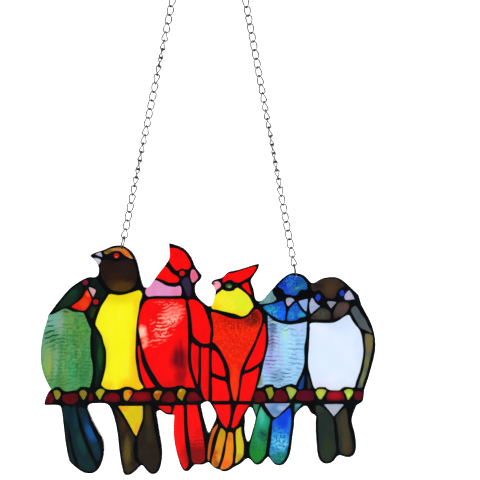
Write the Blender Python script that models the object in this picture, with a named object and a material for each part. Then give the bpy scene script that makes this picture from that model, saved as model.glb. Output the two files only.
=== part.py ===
"""Acrylic hanging ornament: a row of birds on a perch, cut from flat sheet, on a curb chain.

The frame is +Z up with the front face towards -Y. The origin is the inside top of the middle
chain link, where the hook bears. Everything else hangs below it and is placed from the sizes here.
"""
import math

import bmesh
import bpy
import numpy as np
from mathutils import Vector
from mathutils.geometry import tessellate_polygon

# Sheet
PANEL_WIDTH = 0.2408
PANEL_THICKNESS = 0.003
HOLE_DIAMETER = 0.0022
OUTLINE_TOLERANCE = 0.00009
SPAN_STEPS = 3

# Chain
WIRE = 0.001
LINK_LENGTH = 0.0083
LINK_WIDTH = 0.0054
LINK_TWIST = math.radians(45.0)
LEFT_LINKS = 49
RIGHT_LINKS = 52
FUSE_DEPTH = 0.00015
CORNER_SHARE = 1.1

# Rings and clearances
RING_DIAMETER = 0.010
GAP = 0.0003
HOOK_GAP = 0.0004
RUN_SPACING = 0.0021

# Roll of the links about the run, as pairs of link number from the sheet and degrees
LEFT_ROLL = [(0, 45), (1, 24), (2, 5), (8.5, -90), (16, -180), (21, -270), (26, -360), (48, -675)]
RIGHT_ROLL = [(0, 45), (1, 24), (2, 5), (12, -90), (24, -180), (51, -315)]

# Outline of the sheet in drawing millimetres, as smooth runs that meet in corners.
# It goes clockwise seen from the front, starting where the first bird meets the perch.
OUTLINE_RUNS = [
    [(-112.8, 6.6), (-114.6, 9.6), (-116.4, 13.2), (-118.3, 18.0), (-119.6, 23.0), (-120.2, 28.0),
     (-120.2, 33.0), (-119.7, 38.5), (-118.9, 44.0), (-117.9, 48.5), (-116.6, 53.0), (-115.3, 57.0),
     (-114.9, 59.6)],
    [(-114.9, 59.6), (-113.0, 62.0), (-110.0, 66.3), (-107.0, 70.0), (-104.0, 73.8), (-100.0, 78.3),
     (-97.5, 80.5), (-94.0, 83.0), (-90.0, 85.4), (-87.0, 86.8), (-85.0, 87.2), (-83.3, 87.0),
     (-81.3, 87.1), (-79.9, 87.7), (-78.9, 89.0), (-78.4, 91.0), (-78.4, 93.0), (-78.9, 95.3),
     (-79.9, 97.0), (-81.8, 99.5), (-84.8, 102.2)],
    [(-84.8, 102.2), (-83.5, 103.6), (-81.0, 104.8), (-78.0, 105.7), (-75.0, 106.7), (-71.5, 108.3),
     (-68.0, 109.6), (-65.0, 110.0), (-61.5, 109.7), (-58.5, 108.4), (-55.5, 106.2), (-53.0, 103.0),
     (-51.2, 99.0), (-50.0, 95.0), (-49.2, 91.0), (-48.4, 87.0), (-47.5, 83.5), (-46.6, 81.0),
     (-45.4, 79.8), (-43.6, 79.7), (-42.0, 80.6), (-40.2, 83.1), (-38.3, 85.8), (-35.0, 90.3),
     (-32.0, 94.0), (-29.8, 97.0), (-28.2, 99.7), (-27.6, 102.0), (-27.6, 105.0), (-28.0, 111.6)],
    [(-28.0, 111.6), (-26.0, 111.2), (-23.0, 110.2), (-20.0, 109.2), (-17.0, 107.5), (-14.5, 105.0),
     (-12.3, 102.0), (-10.8, 99.0), (-9.8, 96.0), (-8.3, 93.4), (-6.3, 91.0), (-4.4, 88.2)],
    [(-4.4, 88.2), (-4.8, 86.2), (-6.0, 84.5), (-7.7, 83.2), (-8.9, 81.3), (-9.3, 78.5), (-8.8, 75.5),
     (-7.3, 72.7), (-5.0, 70.3), (-2.5, 68.2), (-0.5, 66.6), (0.9, 66.2), (2.3, 66.4), (3.1, 67.4),
     (3.9, 69.8), (4.8, 73.0), (5.4, 75.5), (5.2, 77.6), (4.4, 79.7), (2.2, 82.5)],
    [(2.2, 82.5), (2.9, 84.0), (4.6, 85.2), (7.0, 85.9), (9.5, 86.5), (11.5, 87.9), (13.3, 89.9),
     (15.3, 91.1), (19.0, 91.8), (24.0, 93.0), (29.0, 94.7), (33.0, 96.0), (36.9, 96.9)],
    [(36.9, 96.9), (36.5, 94.3), (35.6, 92.2), (33.8, 89.4), (32.0, 86.9), (31.0, 85.0), (31.0, 83.3),
     (31.8, 81.2), (32.8, 78.5), (33.3, 75.5), (33.8, 72.5), (34.7, 70.7), (36.2, 69.8), (37.9, 69.9),
     (39.6, 70.9), (41.6, 73.0), (44.0, 75.9), (46.5, 78.8), (49.5, 82.2), (52.5, 85.3), (55.5, 87.7),
     (58.5, 89.5), (61.5, 90.2), (64.5, 89.9), (67.3, 89.2), (69.5, 88.0), (71.5, 86.0), (73.2, 84.0),
     (74.6, 83.0), (76.3, 83.0), (78.0, 83.8), (80.0, 85.1), (82.5, 86.3), (85.5, 87.0), (89.0, 87.3),
     (92.5, 87.0), (95.3, 85.8), (98.0, 84.0), (100.5, 81.6), (103.5, 78.8), (106.0, 76.5),
     (107.9, 74.6), (108.8, 72.5), (109.4, 70.0), (110.1, 67.5), (111.6, 64.8), (113.3, 61.8),
     (115.0, 58.6), (116.8, 55.0), (118.3, 51.0), (119.4, 47.0), (120.1, 43.0), (120.4, 38.5),
     (120.1, 34.0), (119.3, 29.5), (118.2, 25.0), (116.9, 20.5), (115.6, 16.0), (114.3, 12.0),
     (113.1, 8.3), (112.3, 6.0), (112.1, 3.5), (111.9, 1.0), (111.6, -0.8), (110.9, -2.3),
     (109.6, -3.4), (108.0, -4.1), (106.9, -4.9), (106.2, -6.2), (105.3, -8.3), (104.3, -11.0),
     (103.5, -13.7), (103.3, -16.0), (103.8, -18.6), (104.8, -22.0), (105.7, -26.0), (106.3, -30.0),
     (106.5, -33.5), (106.3, -36.5), (105.5, -39.2), (104.0, -41.2), (102.0, -42.2), (99.5, -42.3),
     (97.3, -41.7), (95.6, -41.1), (94.4, -41.0), (93.0, -41.5), (91.7, -43.0), (90.2, -45.0),
     (88.0, -46.4), (85.5, -47.0), (83.0, -46.6), (80.8, -45.0), (79.3, -42.5), (78.5, -39.0),
     (78.0, -34.0), (77.5, -28.0), (77.2, -22.0), (77.3, -17.0), (77.6, -14.0), (77.1, -12.4),
     (75.6, -11.4), (74.2, -10.8), (73.2, -9.4), (72.2, -7.4), (71.3, -6.0), (70.2, -5.4),
     (68.8, -5.8), (67.0, -7.0), (65.0, -8.7), (63.2, -11.0), (62.3, -13.2), (62.2, -16.0),
     (61.9, -20.0), (61.2, -24.0), (60.7, -28.0), (60.3, -32.0), (59.8, -36.0), (59.0, -39.5),
     (58.0, -42.3), (56.5, -45.0), (54.8, -47.0), (52.7, -48.1), (50.3, -48.2), (48.0, -47.4),
     (46.2, -45.8), (44.9, -43.8), (43.4, -42.1), (42.2, -42.8), (40.7, -44.7), (38.8, -46.6),
     (36.7, -47.6), (34.7, -47.7), (33.2, -47.0), (31.7, -45.3), (30.3, -43.8), (28.8, -43.1),
     (27.3, -43.6), (25.7, -45.0), (24.0, -46.6), (22.3, -47.7), (20.2, -48.6), (18.2, -49.9),
     (16.0, -51.3), (13.8, -52.3), (11.8, -52.6), (10.2, -52.3), (8.7, -51.4), (6.6, -50.9),
     (4.5, -49.8), (2.8, -48.4), (1.5, -46.9), (0.5, -46.0), (-0.8, -46.3), (-2.3, -47.1),
     (-4.5, -47.7), (-7.0, -47.6), (-9.0, -47.6), (-10.2, -48.2), (-11.3, -49.4), (-12.6, -51.0),
     (-14.0, -52.1), (-15.6, -52.5), (-17.2, -51.9), (-18.7, -50.2), (-19.9, -47.8), (-21.0, -44.5),
     (-22.2, -40.5), (-23.3, -36.0), (-24.2, -31.0), (-24.7, -26.5), (-24.8, -22.0), (-24.6, -17.5),
     (-24.3, -12.0)],
    [(-24.3, -12.0), (-28.5, -11.8), (-30.6, -11.2), (-32.2, -10.1), (-34.2, -8.7), (-36.3, -9.2),
     (-37.0, -10.6), (-36.6, -13.0), (-36.0, -17.0), (-35.2, -22.0), (-34.3, -27.0), (-33.5, -31.5),
     (-32.9, -36.0), (-32.7, -40.0), (-33.1, -44.5), (-34.0, -49.0), (-35.3, -52.0), (-37.0, -53.8),
     (-39.3, -54.5), (-41.5, -54.0), (-43.5, -52.4), (-45.3, -50.2), (-46.4, -48.7), (-47.6, -48.0),
     (-48.8, -48.8), (-50.1, -50.3), (-51.8, -52.0), (-54.0, -53.8), (-56.0, -54.9), (-58.0, -55.2),
     (-59.7, -54.8), (-60.9, -53.0), (-61.8, -49.5), (-62.6, -45.5), (-63.4, -40.5), (-63.9, -35.5),
     (-64.4, -30.0), (-65.1, -24.5), (-66.0, -19.5), (-67.2, -14.5), (-68.5, -10.3), (-69.9, -7.0),
     (-71.3, -5.0), (-72.8, -4.0), (-74.7, -3.6), (-78.0, -3.5), (-82.0, -3.6), (-84.3, -4.0),
     (-85.9, -5.2), (-86.4, -6.9), (-86.0, -9.0), (-84.8, -12.0), (-83.2, -15.5), (-81.3, -19.3),
     (-79.2, -23.0), (-77.2, -26.3), (-75.6, -29.3), (-74.8, -32.5), (-74.5, -36.0), (-74.7, -40.0),
     (-75.4, -43.7), (-76.6, -47.3), (-78.2, -50.3), (-80.3, -52.5), (-82.8, -53.7), (-85.5, -54.0),
     (-88.3, -53.6), (-91.0, -52.4), (-93.7, -50.6), (-96.2, -48.5), (-98.4, -46.5), (-99.6, -44.8),
     (-100.3, -42.5), (-101.0, -39.5), (-101.9, -34.5), (-102.7, -29.0), (-103.4, -23.0),
     (-104.0, -17.0), (-104.6, -11.5), (-105.1, -8.3), (-105.9, -6.0), (-107.3, -5.0), (-110.0, -4.8),
     (-114.0, -4.9), (-116.5, -4.9), (-117.5, -4.2), (-117.3, -2.3), (-116.5, 0.5), (-115.5, 3.0),
     (-114.3, 5.0), (-112.8, 6.6)],
]

# Two slots that the outline leaves between neighbouring tails, closed at their lower ends
WINDOWS = [
    [(-4.9, -4.9), (-4.0, -3.7), (-2.3, -2.7), (-0.5, -2.3), (1.0, -2.8), (2.2, -4.3), (3.6, -6.6),
     (5.0, -9.2), (5.8, -11.8), (5.8, -13.8), (5.1, -16.0), (4.0, -18.1), (2.8, -20.6), (1.9, -22.9),
     (1.0, -24.6), (0.2, -24.6), (-0.4, -23.2), (-1.1, -21.0), (-2.1, -17.7), (-3.0, -14.5),
     (-3.8, -11.0), (-4.4, -8.0)],
    [(30.2, -6.4), (31.6, -6.9), (32.4, -8.4), (33.1, -10.4), (34.0, -12.7), (34.1, -15.2),
     (33.4, -18.3), (32.4, -22.0), (31.2, -26.0), (30.2, -29.4), (29.2, -31.1), (28.4, -30.9),
     (27.6, -29.3), (26.9, -26.5), (26.4, -23.0), (26.4, -20.0), (26.8, -17.0), (26.7, -14.5),
     (26.5, -12.4), (27.3, -10.3), (28.4, -8.4), (29.2, -7.0)],
]

# Middles of the two hanging holes, in the same drawing millimetres
LEFT_HOLE = (-62.2, 107.4)
RIGHT_HOLE = (63.4, 87.6)

LINK_SEGMENTS = 8
LINK_SIDES = 4
RING_SEGMENTS = 20
RING_SIDES = 6
TOP_SEGMENTS = 16
TOP_SIDES = 6
HOLE_SIDES = 16
OVAL_POWER = 2.4

ALL_POINTS = [point for run in OUTLINE_RUNS for point in run]
DRAWN_WIDTH = max(u for u, v in ALL_POINTS) - min(u for u, v in ALL_POINTS)
SCALE = PANEL_WIDTH / DRAWN_WIDTH
PITCH = LINK_LENGTH - 2.0 * WIRE
CORNER_RADIUS = 0.5 * WIRE * CORNER_SHARE


def clear_scene():
    for item in list(bpy.data.objects):
        bpy.data.objects.remove(item, do_unlink=True)


def make_material(name, colour, metallic, roughness):
    material = bpy.data.materials.new(name)
    material.use_nodes = True
    shader = next(n for n in material.node_tree.nodes if n.type == "BSDF_PRINCIPLED")
    shader.inputs["Base Color"].default_value = (*colour, 1.0)
    shader.inputs["Metallic"].default_value = metallic
    shader.inputs["Roughness"].default_value = roughness
    return material


def add_object(name, mesh, material):
    mesh.materials.append(material)
    item = bpy.data.objects.new(name, mesh)
    bpy.context.scene.collection.objects.link(item)
    return item


# Curves
def smooth_run(points, steps, closed=False):
    """Points along a Catmull-Rom curve through the given points."""
    given = [Vector(p) for p in points]
    count = len(given)
    spans = count if closed else count - 1
    result = []
    for i in range(spans):
        if closed:
            p0, p1, p2, p3 = (given[(i + k) % count] for k in (-1, 0, 1, 2))
        else:
            p1, p2 = given[i], given[i + 1]
            p0 = given[i - 1] if i > 0 else p1
            p3 = given[i + 2] if i + 2 < count else p2
        for k in range(steps):
            t = k / steps
            a = 2.0 * p1 + (p2 - p0) * t
            b = (2.0 * p0 - 5.0 * p1 + 4.0 * p2 - p3) * t * t
            c = (3.0 * p1 - p0 - 3.0 * p2 + p3) * t * t * t
            result.append(0.5 * (a + b + c))
    return result


def thin_out(points, tolerance):
    """The points without those that lie within the tolerance of the line between their kept neighbours."""
    keep = [0]
    start = 0
    end = 1
    total = len(points)
    while end < total:
        a, b = points[start], points[end]
        along = (b - a).normalized()
        between = [points[k] - a for k in range(start + 1, end)]
        off = max((abs(along.x * d.y - along.y * d.x) for d in between), default=0.0)
        if off > tolerance and end - start > 1:
            start = end - 1
            keep.append(start)
        else:
            end += 1
    if keep[-1] != total - 1:
        keep.append(total - 1)
    return [points[k] for k in keep]


def to_panel(points):
    return [Vector((p[0] * SCALE, p[1] * SCALE)) for p in points]


def outline_loop():
    loop = []
    for run in OUTLINE_RUNS:
        curve = to_panel(smooth_run(run, SPAN_STEPS) + [Vector(run[-1])])
        loop += thin_out(curve, OUTLINE_TOLERANCE)[:-1]
    return loop


def window_loop(points):
    curve = to_panel(smooth_run(points, SPAN_STEPS, closed=True))
    return thin_out(curve, OUTLINE_TOLERANCE)


def circle_loop(middle, radius, sides):
    turns = [2.0 * math.pi * k / sides for k in range(sides)]
    return [Vector((middle.x + radius * math.cos(t), middle.y + radius * math.sin(t))) for t in turns]


# Layout of the two runs of chain
def layout():
    """The foot and direction of both runs and the place of the drawing's origin."""
    left_hole, right_hole = to_panel([LEFT_HOLE, RIGHT_HOLE])
    bar = 0.5 * WIRE - (LINK_LENGTH - WIRE)
    left_top = Vector((-0.5 * RUN_SPACING, bar))
    right_top = Vector((0.5 * RUN_SPACING, bar))
    left_span = ring_top() + link_start() + (LEFT_LINKS - 1) * PITCH + link_reach() - WIRE - HOOK_GAP
    right_span = ring_top() + link_start() + (RIGHT_LINKS - 1) * PITCH + link_reach() - WIRE - HOOK_GAP
    apart = (right_hole - left_hole) - (right_top - left_top)
    distance = apart.length
    along = (left_span ** 2 - right_span ** 2 + distance ** 2) / (2.0 * distance)
    across = math.sqrt(left_span ** 2 - along ** 2)
    unit = -apart / distance
    normal = Vector((unit.y, -unit.x))
    if normal.y > 0.0:
        normal = -normal
    left_foot = left_top + unit * along + normal * across
    origin = left_foot - left_hole
    return origin, (left_foot, left_top), (origin + right_hole, right_top)


def ring_seat():
    """Distance from the hole's middle to the middle of the ring wire, along the run."""
    radius = 0.5 * (RING_DIAMETER - WIRE)
    rise = radius - math.sqrt(radius ** 2 - (0.5 * PANEL_THICKNESS) ** 2)
    lean = radius / math.sqrt(radius ** 2 - (0.5 * PANEL_THICKNESS) ** 2)
    return 0.5 * HOLE_DIAMETER - GAP - 0.5 * WIRE * lean - rise


def ring_top():
    """Distance from the hole's middle to the middle of the ring wire at its top."""
    return ring_seat() + RING_DIAMETER - WIRE


def link_start():
    """Distance from the ring's top wire to the first link's lower end, both at their middles."""
    return -(WIRE + GAP)


def link_reach():
    """Length of a link from the middle of one end's wire to the middle of the other's."""
    return PITCH + 2.0 * CORNER_RADIUS - FUSE_DEPTH


# Tubes around closed curves
def oval_curve(count, half_length, half_width, twist):
    """Middle line of an oval link about its long axis, with the outward direction at each point."""
    turns = [2.0 * math.pi * (k + 0.5) / count for k in range(count)]
    share = 2.0 / OVAL_POWER
    xs = [math.copysign(abs(math.sin(t)) ** share, math.sin(t)) for t in turns]
    zs = [math.copysign(abs(math.cos(t)) ** share, math.cos(t)) for t in turns]
    widest, longest = max(xs), max(zs)
    result = []
    for t, x, z in zip(turns, xs, zs):
        place = Vector((half_width * x / widest, 0.0, half_length * z / longest))
        angle = twist * place.z / half_length
        turned = Vector((place.x * math.cos(angle), place.x * math.sin(angle), place.z))
        out = Vector((math.sin(t) * math.cos(angle), math.sin(t) * math.sin(angle), math.cos(t)))
        result.append((turned, out))
    return result


def round_curve(count, radius):
    """Middle line of a ring that stands across the sheet, with the outward direction at each point."""
    turns = [2.0 * math.pi * (k + 0.5) / count for k in range(count)]
    scale = 1.0 / math.cos(math.pi / count)
    result = []
    for t in turns:
        out = Vector((0.0, math.sin(t), math.cos(t)))
        result.append((out * radius * scale, out))
    return result


def tube_mesh(name, curve, radius, sides, place):
    """A closed tube around a closed curve, with its points sent through the place function."""
    count = len(curve)
    bm = bmesh.new()
    rows = []
    for i in range(count):
        middle, out = curve[i]
        before = (middle - curve[i - 1][0]).normalized()
        after = (curve[(i + 1) % count][0] - middle).normalized()
        tangent = (before + after).normalized()
        outward = (out - tangent * out.dot(tangent)).normalized()
        side = tangent.cross(outward)
        mitre = outward / tangent.dot(after)
        row = []
        for k in range(sides):
            a = 2.0 * math.pi * k / sides
            point = middle + radius * (math.cos(a) * mitre + math.sin(a) * side)
            row.append(bm.verts.new(place(point)))
        rows.append(row)
    for i in range(count):
        here, there = rows[i], rows[(i + 1) % count]
        for k in range(sides):
            m = (k + 1) % sides
            bm.faces.new((here[k], here[m], there[m], there[k]))
    bmesh.ops.recalc_face_normals(bm, faces=bm.faces)
    mesh = bpy.data.meshes.new(name)
    bm.to_mesh(mesh)
    bm.free()
    mesh.polygons.foreach_set("use_smooth", [True] * len(mesh.polygons))
    return mesh


def run_place(foot, top, distance, roll):
    """A function that sends a point about a link's own axes to its place on a run."""
    direction = (top - foot).normalized()
    up = Vector((direction.x, 0.0, direction.y))
    right = Vector((direction.y, 0.0, -direction.x))
    back = Vector((0.0, 1.0, 0.0))
    start = Vector((foot.x, 0.0, foot.y)) + up * distance

    def place(point):
        x = point.x * math.cos(roll) - point.y * math.sin(roll)
        y = point.x * math.sin(roll) + point.y * math.cos(roll)
        return start + right * x + back * y + up * point.z

    return place


def roll_at(pairs, number):
    return math.radians(float(np.interp(number, [p[0] for p in pairs], [p[1] for p in pairs])))


# Sub-parts
def build_panel(origin, material):
    holes = to_panel([LEFT_HOLE, RIGHT_HOLE])
    loops = [outline_loop()]
    loops += [window_loop(points) for points in WINDOWS]
    loops += [circle_loop(middle, 0.5 * HOLE_DIAMETER, HOLE_SIDES) for middle in holes]
    flat = [Vector((p.x, p.y, 0.0)) for loop in loops for p in loop]
    triangles = tessellate_polygon([[Vector((p.x, p.y, 0.0)) for p in loop] for loop in loops])
    bm = bmesh.new()
    sheets = []
    for y in (-0.5 * PANEL_THICKNESS, 0.5 * PANEL_THICKNESS):
        sheets.append([bm.verts.new((origin.x + p.x, y, origin.y + p.y)) for p in flat])
    for sheet in sheets:
        for triangle in triangles:
            bm.faces.new([sheet[k] for k in triangle])
    start = 0
    for loop in loops:
        count = len(loop)
        for k in range(count):
            a, b = start + k, start + (k + 1) % count
            bm.faces.new((sheets[0][a], sheets[0][b], sheets[1][b], sheets[1][a]))
        start += count
    bmesh.ops.recalc_face_normals(bm, faces=bm.faces)
    mesh = bpy.data.meshes.new("acrylic_panel")
    bm.to_mesh(mesh)
    bm.free()
    return add_object("acrylic_panel", mesh, material)


def build_ring(name, foot, top, material):
    curve = round_curve(RING_SEGMENTS, 0.5 * (RING_DIAMETER - WIRE))
    place = run_place(foot, top, ring_seat() + 0.5 * (RING_DIAMETER - WIRE), 0.0)
    return add_object(name, tube_mesh(name, curve, 0.5 * WIRE, RING_SIDES, place), material)


def build_run(name, foot, top, links, rolls, material):
    """One run of links, fused where each link bears on the next."""
    curve = oval_curve(LINK_SEGMENTS, 0.5 * link_reach(), 0.5 * (LINK_WIDTH - WIRE), LINK_TWIST)
    halves = []
    for parity in (0, 1):
        merged = bmesh.new()
        for number in range(parity, links, 2):
            distance = ring_top() + link_start() + number * PITCH + 0.5 * link_reach()
            place = run_place(foot, top, distance, roll_at(rolls, number))
            mesh = tube_mesh("link", curve, CORNER_RADIUS, LINK_SIDES, place)
            merged.from_mesh(mesh)
            bpy.data.meshes.remove(mesh)
        mesh = bpy.data.meshes.new(name if parity == 0 else name + "_others")
        merged.to_mesh(mesh)
        merged.free()
        halves.append(add_object(mesh.name, mesh, material))
    fuse(halves[0], halves[1])
    return halves[0]


def fuse(item, other):
    """Joins the other object into the first with a Boolean union."""
    modifier = item.modifiers.new("fuse", "BOOLEAN")
    modifier.operation = "UNION"
    modifier.solver = "EXACT"
    modifier.object = other
    graph = bpy.context.evaluated_depsgraph_get()
    mesh = bpy.data.meshes.new_from_object(item.evaluated_get(graph))
    item.modifiers.clear()
    item.data = mesh
    bpy.data.objects.remove(other, do_unlink=True)


def build_top_link(material):
    curve = oval_curve(TOP_SEGMENTS, 0.5 * (LINK_LENGTH - WIRE), 0.5 * (LINK_WIDTH - WIRE), 0.0)
    foot = Vector((0.0, -1.0))
    top = Vector((0.0, 0.0))
    place = run_place(foot, top, 1.0 + 0.5 * WIRE - 0.5 * (LINK_LENGTH - WIRE), 0.0)
    name = "chain_top_link"
    return add_object(name, tube_mesh(name, curve, 0.5 * WIRE, TOP_SIDES, place), material)


def main():
    clear_scene()
    sheet = make_material("printed_acrylic", (0.30, 0.42, 0.50), 0.0, 0.15)
    silver = make_material("silver_steel", (0.72, 0.73, 0.75), 1.0, 0.22)
    origin, left, right = layout()
    build_panel(origin, sheet)
    build_ring("left_jump_ring", left[0], left[1], silver)
    build_ring("right_jump_ring", right[0], right[1], silver)
    build_run("chain_left_run", left[0], left[1], LEFT_LINKS, LEFT_ROLL, silver)
    build_run("chain_right_run", right[0], right[1], RIGHT_LINKS, RIGHT_ROLL, silver)
    build_top_link(silver)


main()
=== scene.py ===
"""Dressed model of an acrylic hanging ornament: songbirds on a perch, printed like stained glass.

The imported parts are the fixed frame. The sheet is drawn here again with its picture as flat colour
on both faces, and the chain and its rings as separate bright links.
"""
import logging
import math
import sys
from dataclasses import dataclass, field
from enum import Enum

import bmesh
import bpy
import numpy as np
from mathutils import Matrix, Vector
from mathutils.geometry import delaunay_2d_cdt


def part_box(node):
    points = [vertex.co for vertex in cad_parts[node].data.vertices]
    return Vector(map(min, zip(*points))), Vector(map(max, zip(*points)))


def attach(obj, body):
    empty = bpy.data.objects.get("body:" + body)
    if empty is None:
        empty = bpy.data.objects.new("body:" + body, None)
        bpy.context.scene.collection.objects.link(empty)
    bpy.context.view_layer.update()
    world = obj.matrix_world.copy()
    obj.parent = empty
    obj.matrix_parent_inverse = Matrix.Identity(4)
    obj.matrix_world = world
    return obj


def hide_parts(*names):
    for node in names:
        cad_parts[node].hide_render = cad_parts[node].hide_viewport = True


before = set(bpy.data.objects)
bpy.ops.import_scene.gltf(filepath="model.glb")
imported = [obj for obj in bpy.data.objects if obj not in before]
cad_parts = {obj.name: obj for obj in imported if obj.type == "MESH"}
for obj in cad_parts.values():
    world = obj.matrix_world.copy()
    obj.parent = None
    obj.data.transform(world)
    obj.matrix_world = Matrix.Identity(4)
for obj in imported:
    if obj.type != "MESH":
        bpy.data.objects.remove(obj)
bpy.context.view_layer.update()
LOG = logging.getLogger("ornament")

Node = bpy.types.Node
Tree = bpy.types.NodeTree
Socket = bpy.types.NodeSocket
Thing = bpy.types.Object
Flat = tuple[float, float]
Triple = tuple[float, float, float]

ACRYLIC_IOR = 1.49
# The drawing's own millimetres: their size in metres and the place of their origin in the part.
# The pattern's depth is so large that the front and the back carry the same picture.
MM = 0.00100083
DRAWING_ORIGIN = Vector((-0.0020610, 0.0, -0.4238535))
PATTERN_DEPTH = 1000.0


# Helpers
def linear(hex_colour: str) -> tuple[float, float, float, float]:
    """The linear colour of an sRGB hex value.

    Args:
        hex_colour: six hex digits after a hash mark.

    Returns:
        Red, green, blue and an alpha of one.
    """
    parts = [int(hex_colour[k:k + 2], 16) / 255.0 for k in (1, 3, 5)]
    red, green, blue = (c / 12.92 if c <= 0.04045 else ((c + 0.055) / 1.055) ** 2.4 for c in parts)
    return red, green, blue, 1.0


def add_node(tree: Tree, kind: str, settings: dict, links: dict | None = None) -> Node:
    """Adds a node with its settings and the links into it.

    Args:
        tree: the node tree.
        kind: the node's type name.
        settings: values by property name, or by input name or number.
        links: output sockets by the name or number of the input that they go to.

    Returns:
        The new node.
    """
    node = tree.nodes.new(kind)
    for key, value in settings.items():
        if isinstance(key, str) and hasattr(node, key):
            setattr(node, key, value)
    for key, value in settings.items():
        if not (isinstance(key, str) and hasattr(node, key)):
            node.inputs[key].default_value = value
    for key, socket in (links or {}).items():
        tree.links.new(socket, node.inputs[key])
    return node


def new_material(name: str, values: dict) -> tuple[bpy.types.Material, Node]:
    """Starts a material.

    Args:
        name: the material's name.
        values: the uniform values of its shader, by input name.

    Returns:
        The material and its Principled shader node.
    """
    material = bpy.data.materials.new(name)
    material.use_nodes = True
    shader = next(n for n in material.node_tree.nodes if n.type == "BSDF_PRINCIPLED")
    for key, value in values.items():
        shader.inputs[key].default_value = value
    return material, shader


def blended(tree: Tree, share: Socket, spread: Flat, first: str, second: str,
            amount: float = 1.0) -> Socket:
    """Goes from one colour to another as a share rises.

    Args:
        tree: the material's node tree.
        share: the share.
        spread: where the second colour starts to show and where it is full.
        first: the first colour.
        second: the second colour.
        amount: how much of the second colour counts as full.

    Returns:
        The socket that carries the colour.
    """
    weight = add_node(tree, "ShaderNodeMapRange", {
        "From Min": spread[0], "From Max": spread[1], "To Max": amount,
    }, {"Value": share}).outputs["Result"]
    return add_node(tree, "ShaderNodeMix", {
        "data_type": "RGBA", 6: linear(first), 7: linear(second),
    }, {0: weight}).outputs[2]


def deselect_all() -> None:
    """Clears the selection, which the loaded frame leaves full."""
    bpy.ops.object.select_all(action="DESELECT")


def make_active(item: Thing) -> None:
    """Selects one object alone and makes it active.

    Args:
        item: the object.
    """
    deselect_all()
    item.select_set(True)
    bpy.context.view_layer.objects.active = item


def duplicate(item: Thing, name: str) -> Thing:
    """Copies an object with its own mesh.

    Args:
        item: the object.
        name: the copy's name.

    Returns:
        The copy.
    """
    copy = item.copy()
    copy.data = item.data.copy()
    copy.name = name
    bpy.context.scene.collection.objects.link(copy)
    return copy


def settle(item: Thing, node: str, material: bpy.types.Material | None = None) -> None:
    """Gives a finished piece its finish, its place in the table and its line in the log.

    Args:
        item: the piece, with its place in its mesh.
        node: the CAD node that it stands for.
        material: the finish, where the piece has a single one.
    """
    if material is not None:
        item.data.materials.clear()
        item.data.materials.append(material)
    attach(item, "root")
    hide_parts(node)
    LOG.info("%s: %d faces, stands for %s", item.name, len(item.data.polygons), node)


# Finishes
class Texture(Enum):
    """The kinds of art glass that the print shows."""

    SMOOTH = "smooth"
    STREAKY = "streaky"
    MOTTLED = "mottled"
    RIPPLED = "rippled"
    HAMMERED = "hammered"


class Marks(Enum):
    """What a patch is made of: an even wash, specks, upright streaks or broken ripple lines."""

    WASH = "wash"
    SPECKS = "specks"
    STREAKS = "streaks"
    RIPPLES = "ripples"


@dataclass(frozen=True)
class Patch:
    """A soft-edged area of another colour within a pane, in the drawing's millimetres.

    Its middle is at u, v, and a turn in degrees leans its top to the right. Marks other than a wash
    have a size, and cover a share of the area.
    """

    u: float
    v: float
    half_width: float
    half_height: float
    colour: str
    strength: float = 1.0
    turn: float = 0.0
    marks: Marks = Marks.WASH
    mark_size: float = 2.5
    cover: float = 0.5


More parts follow.
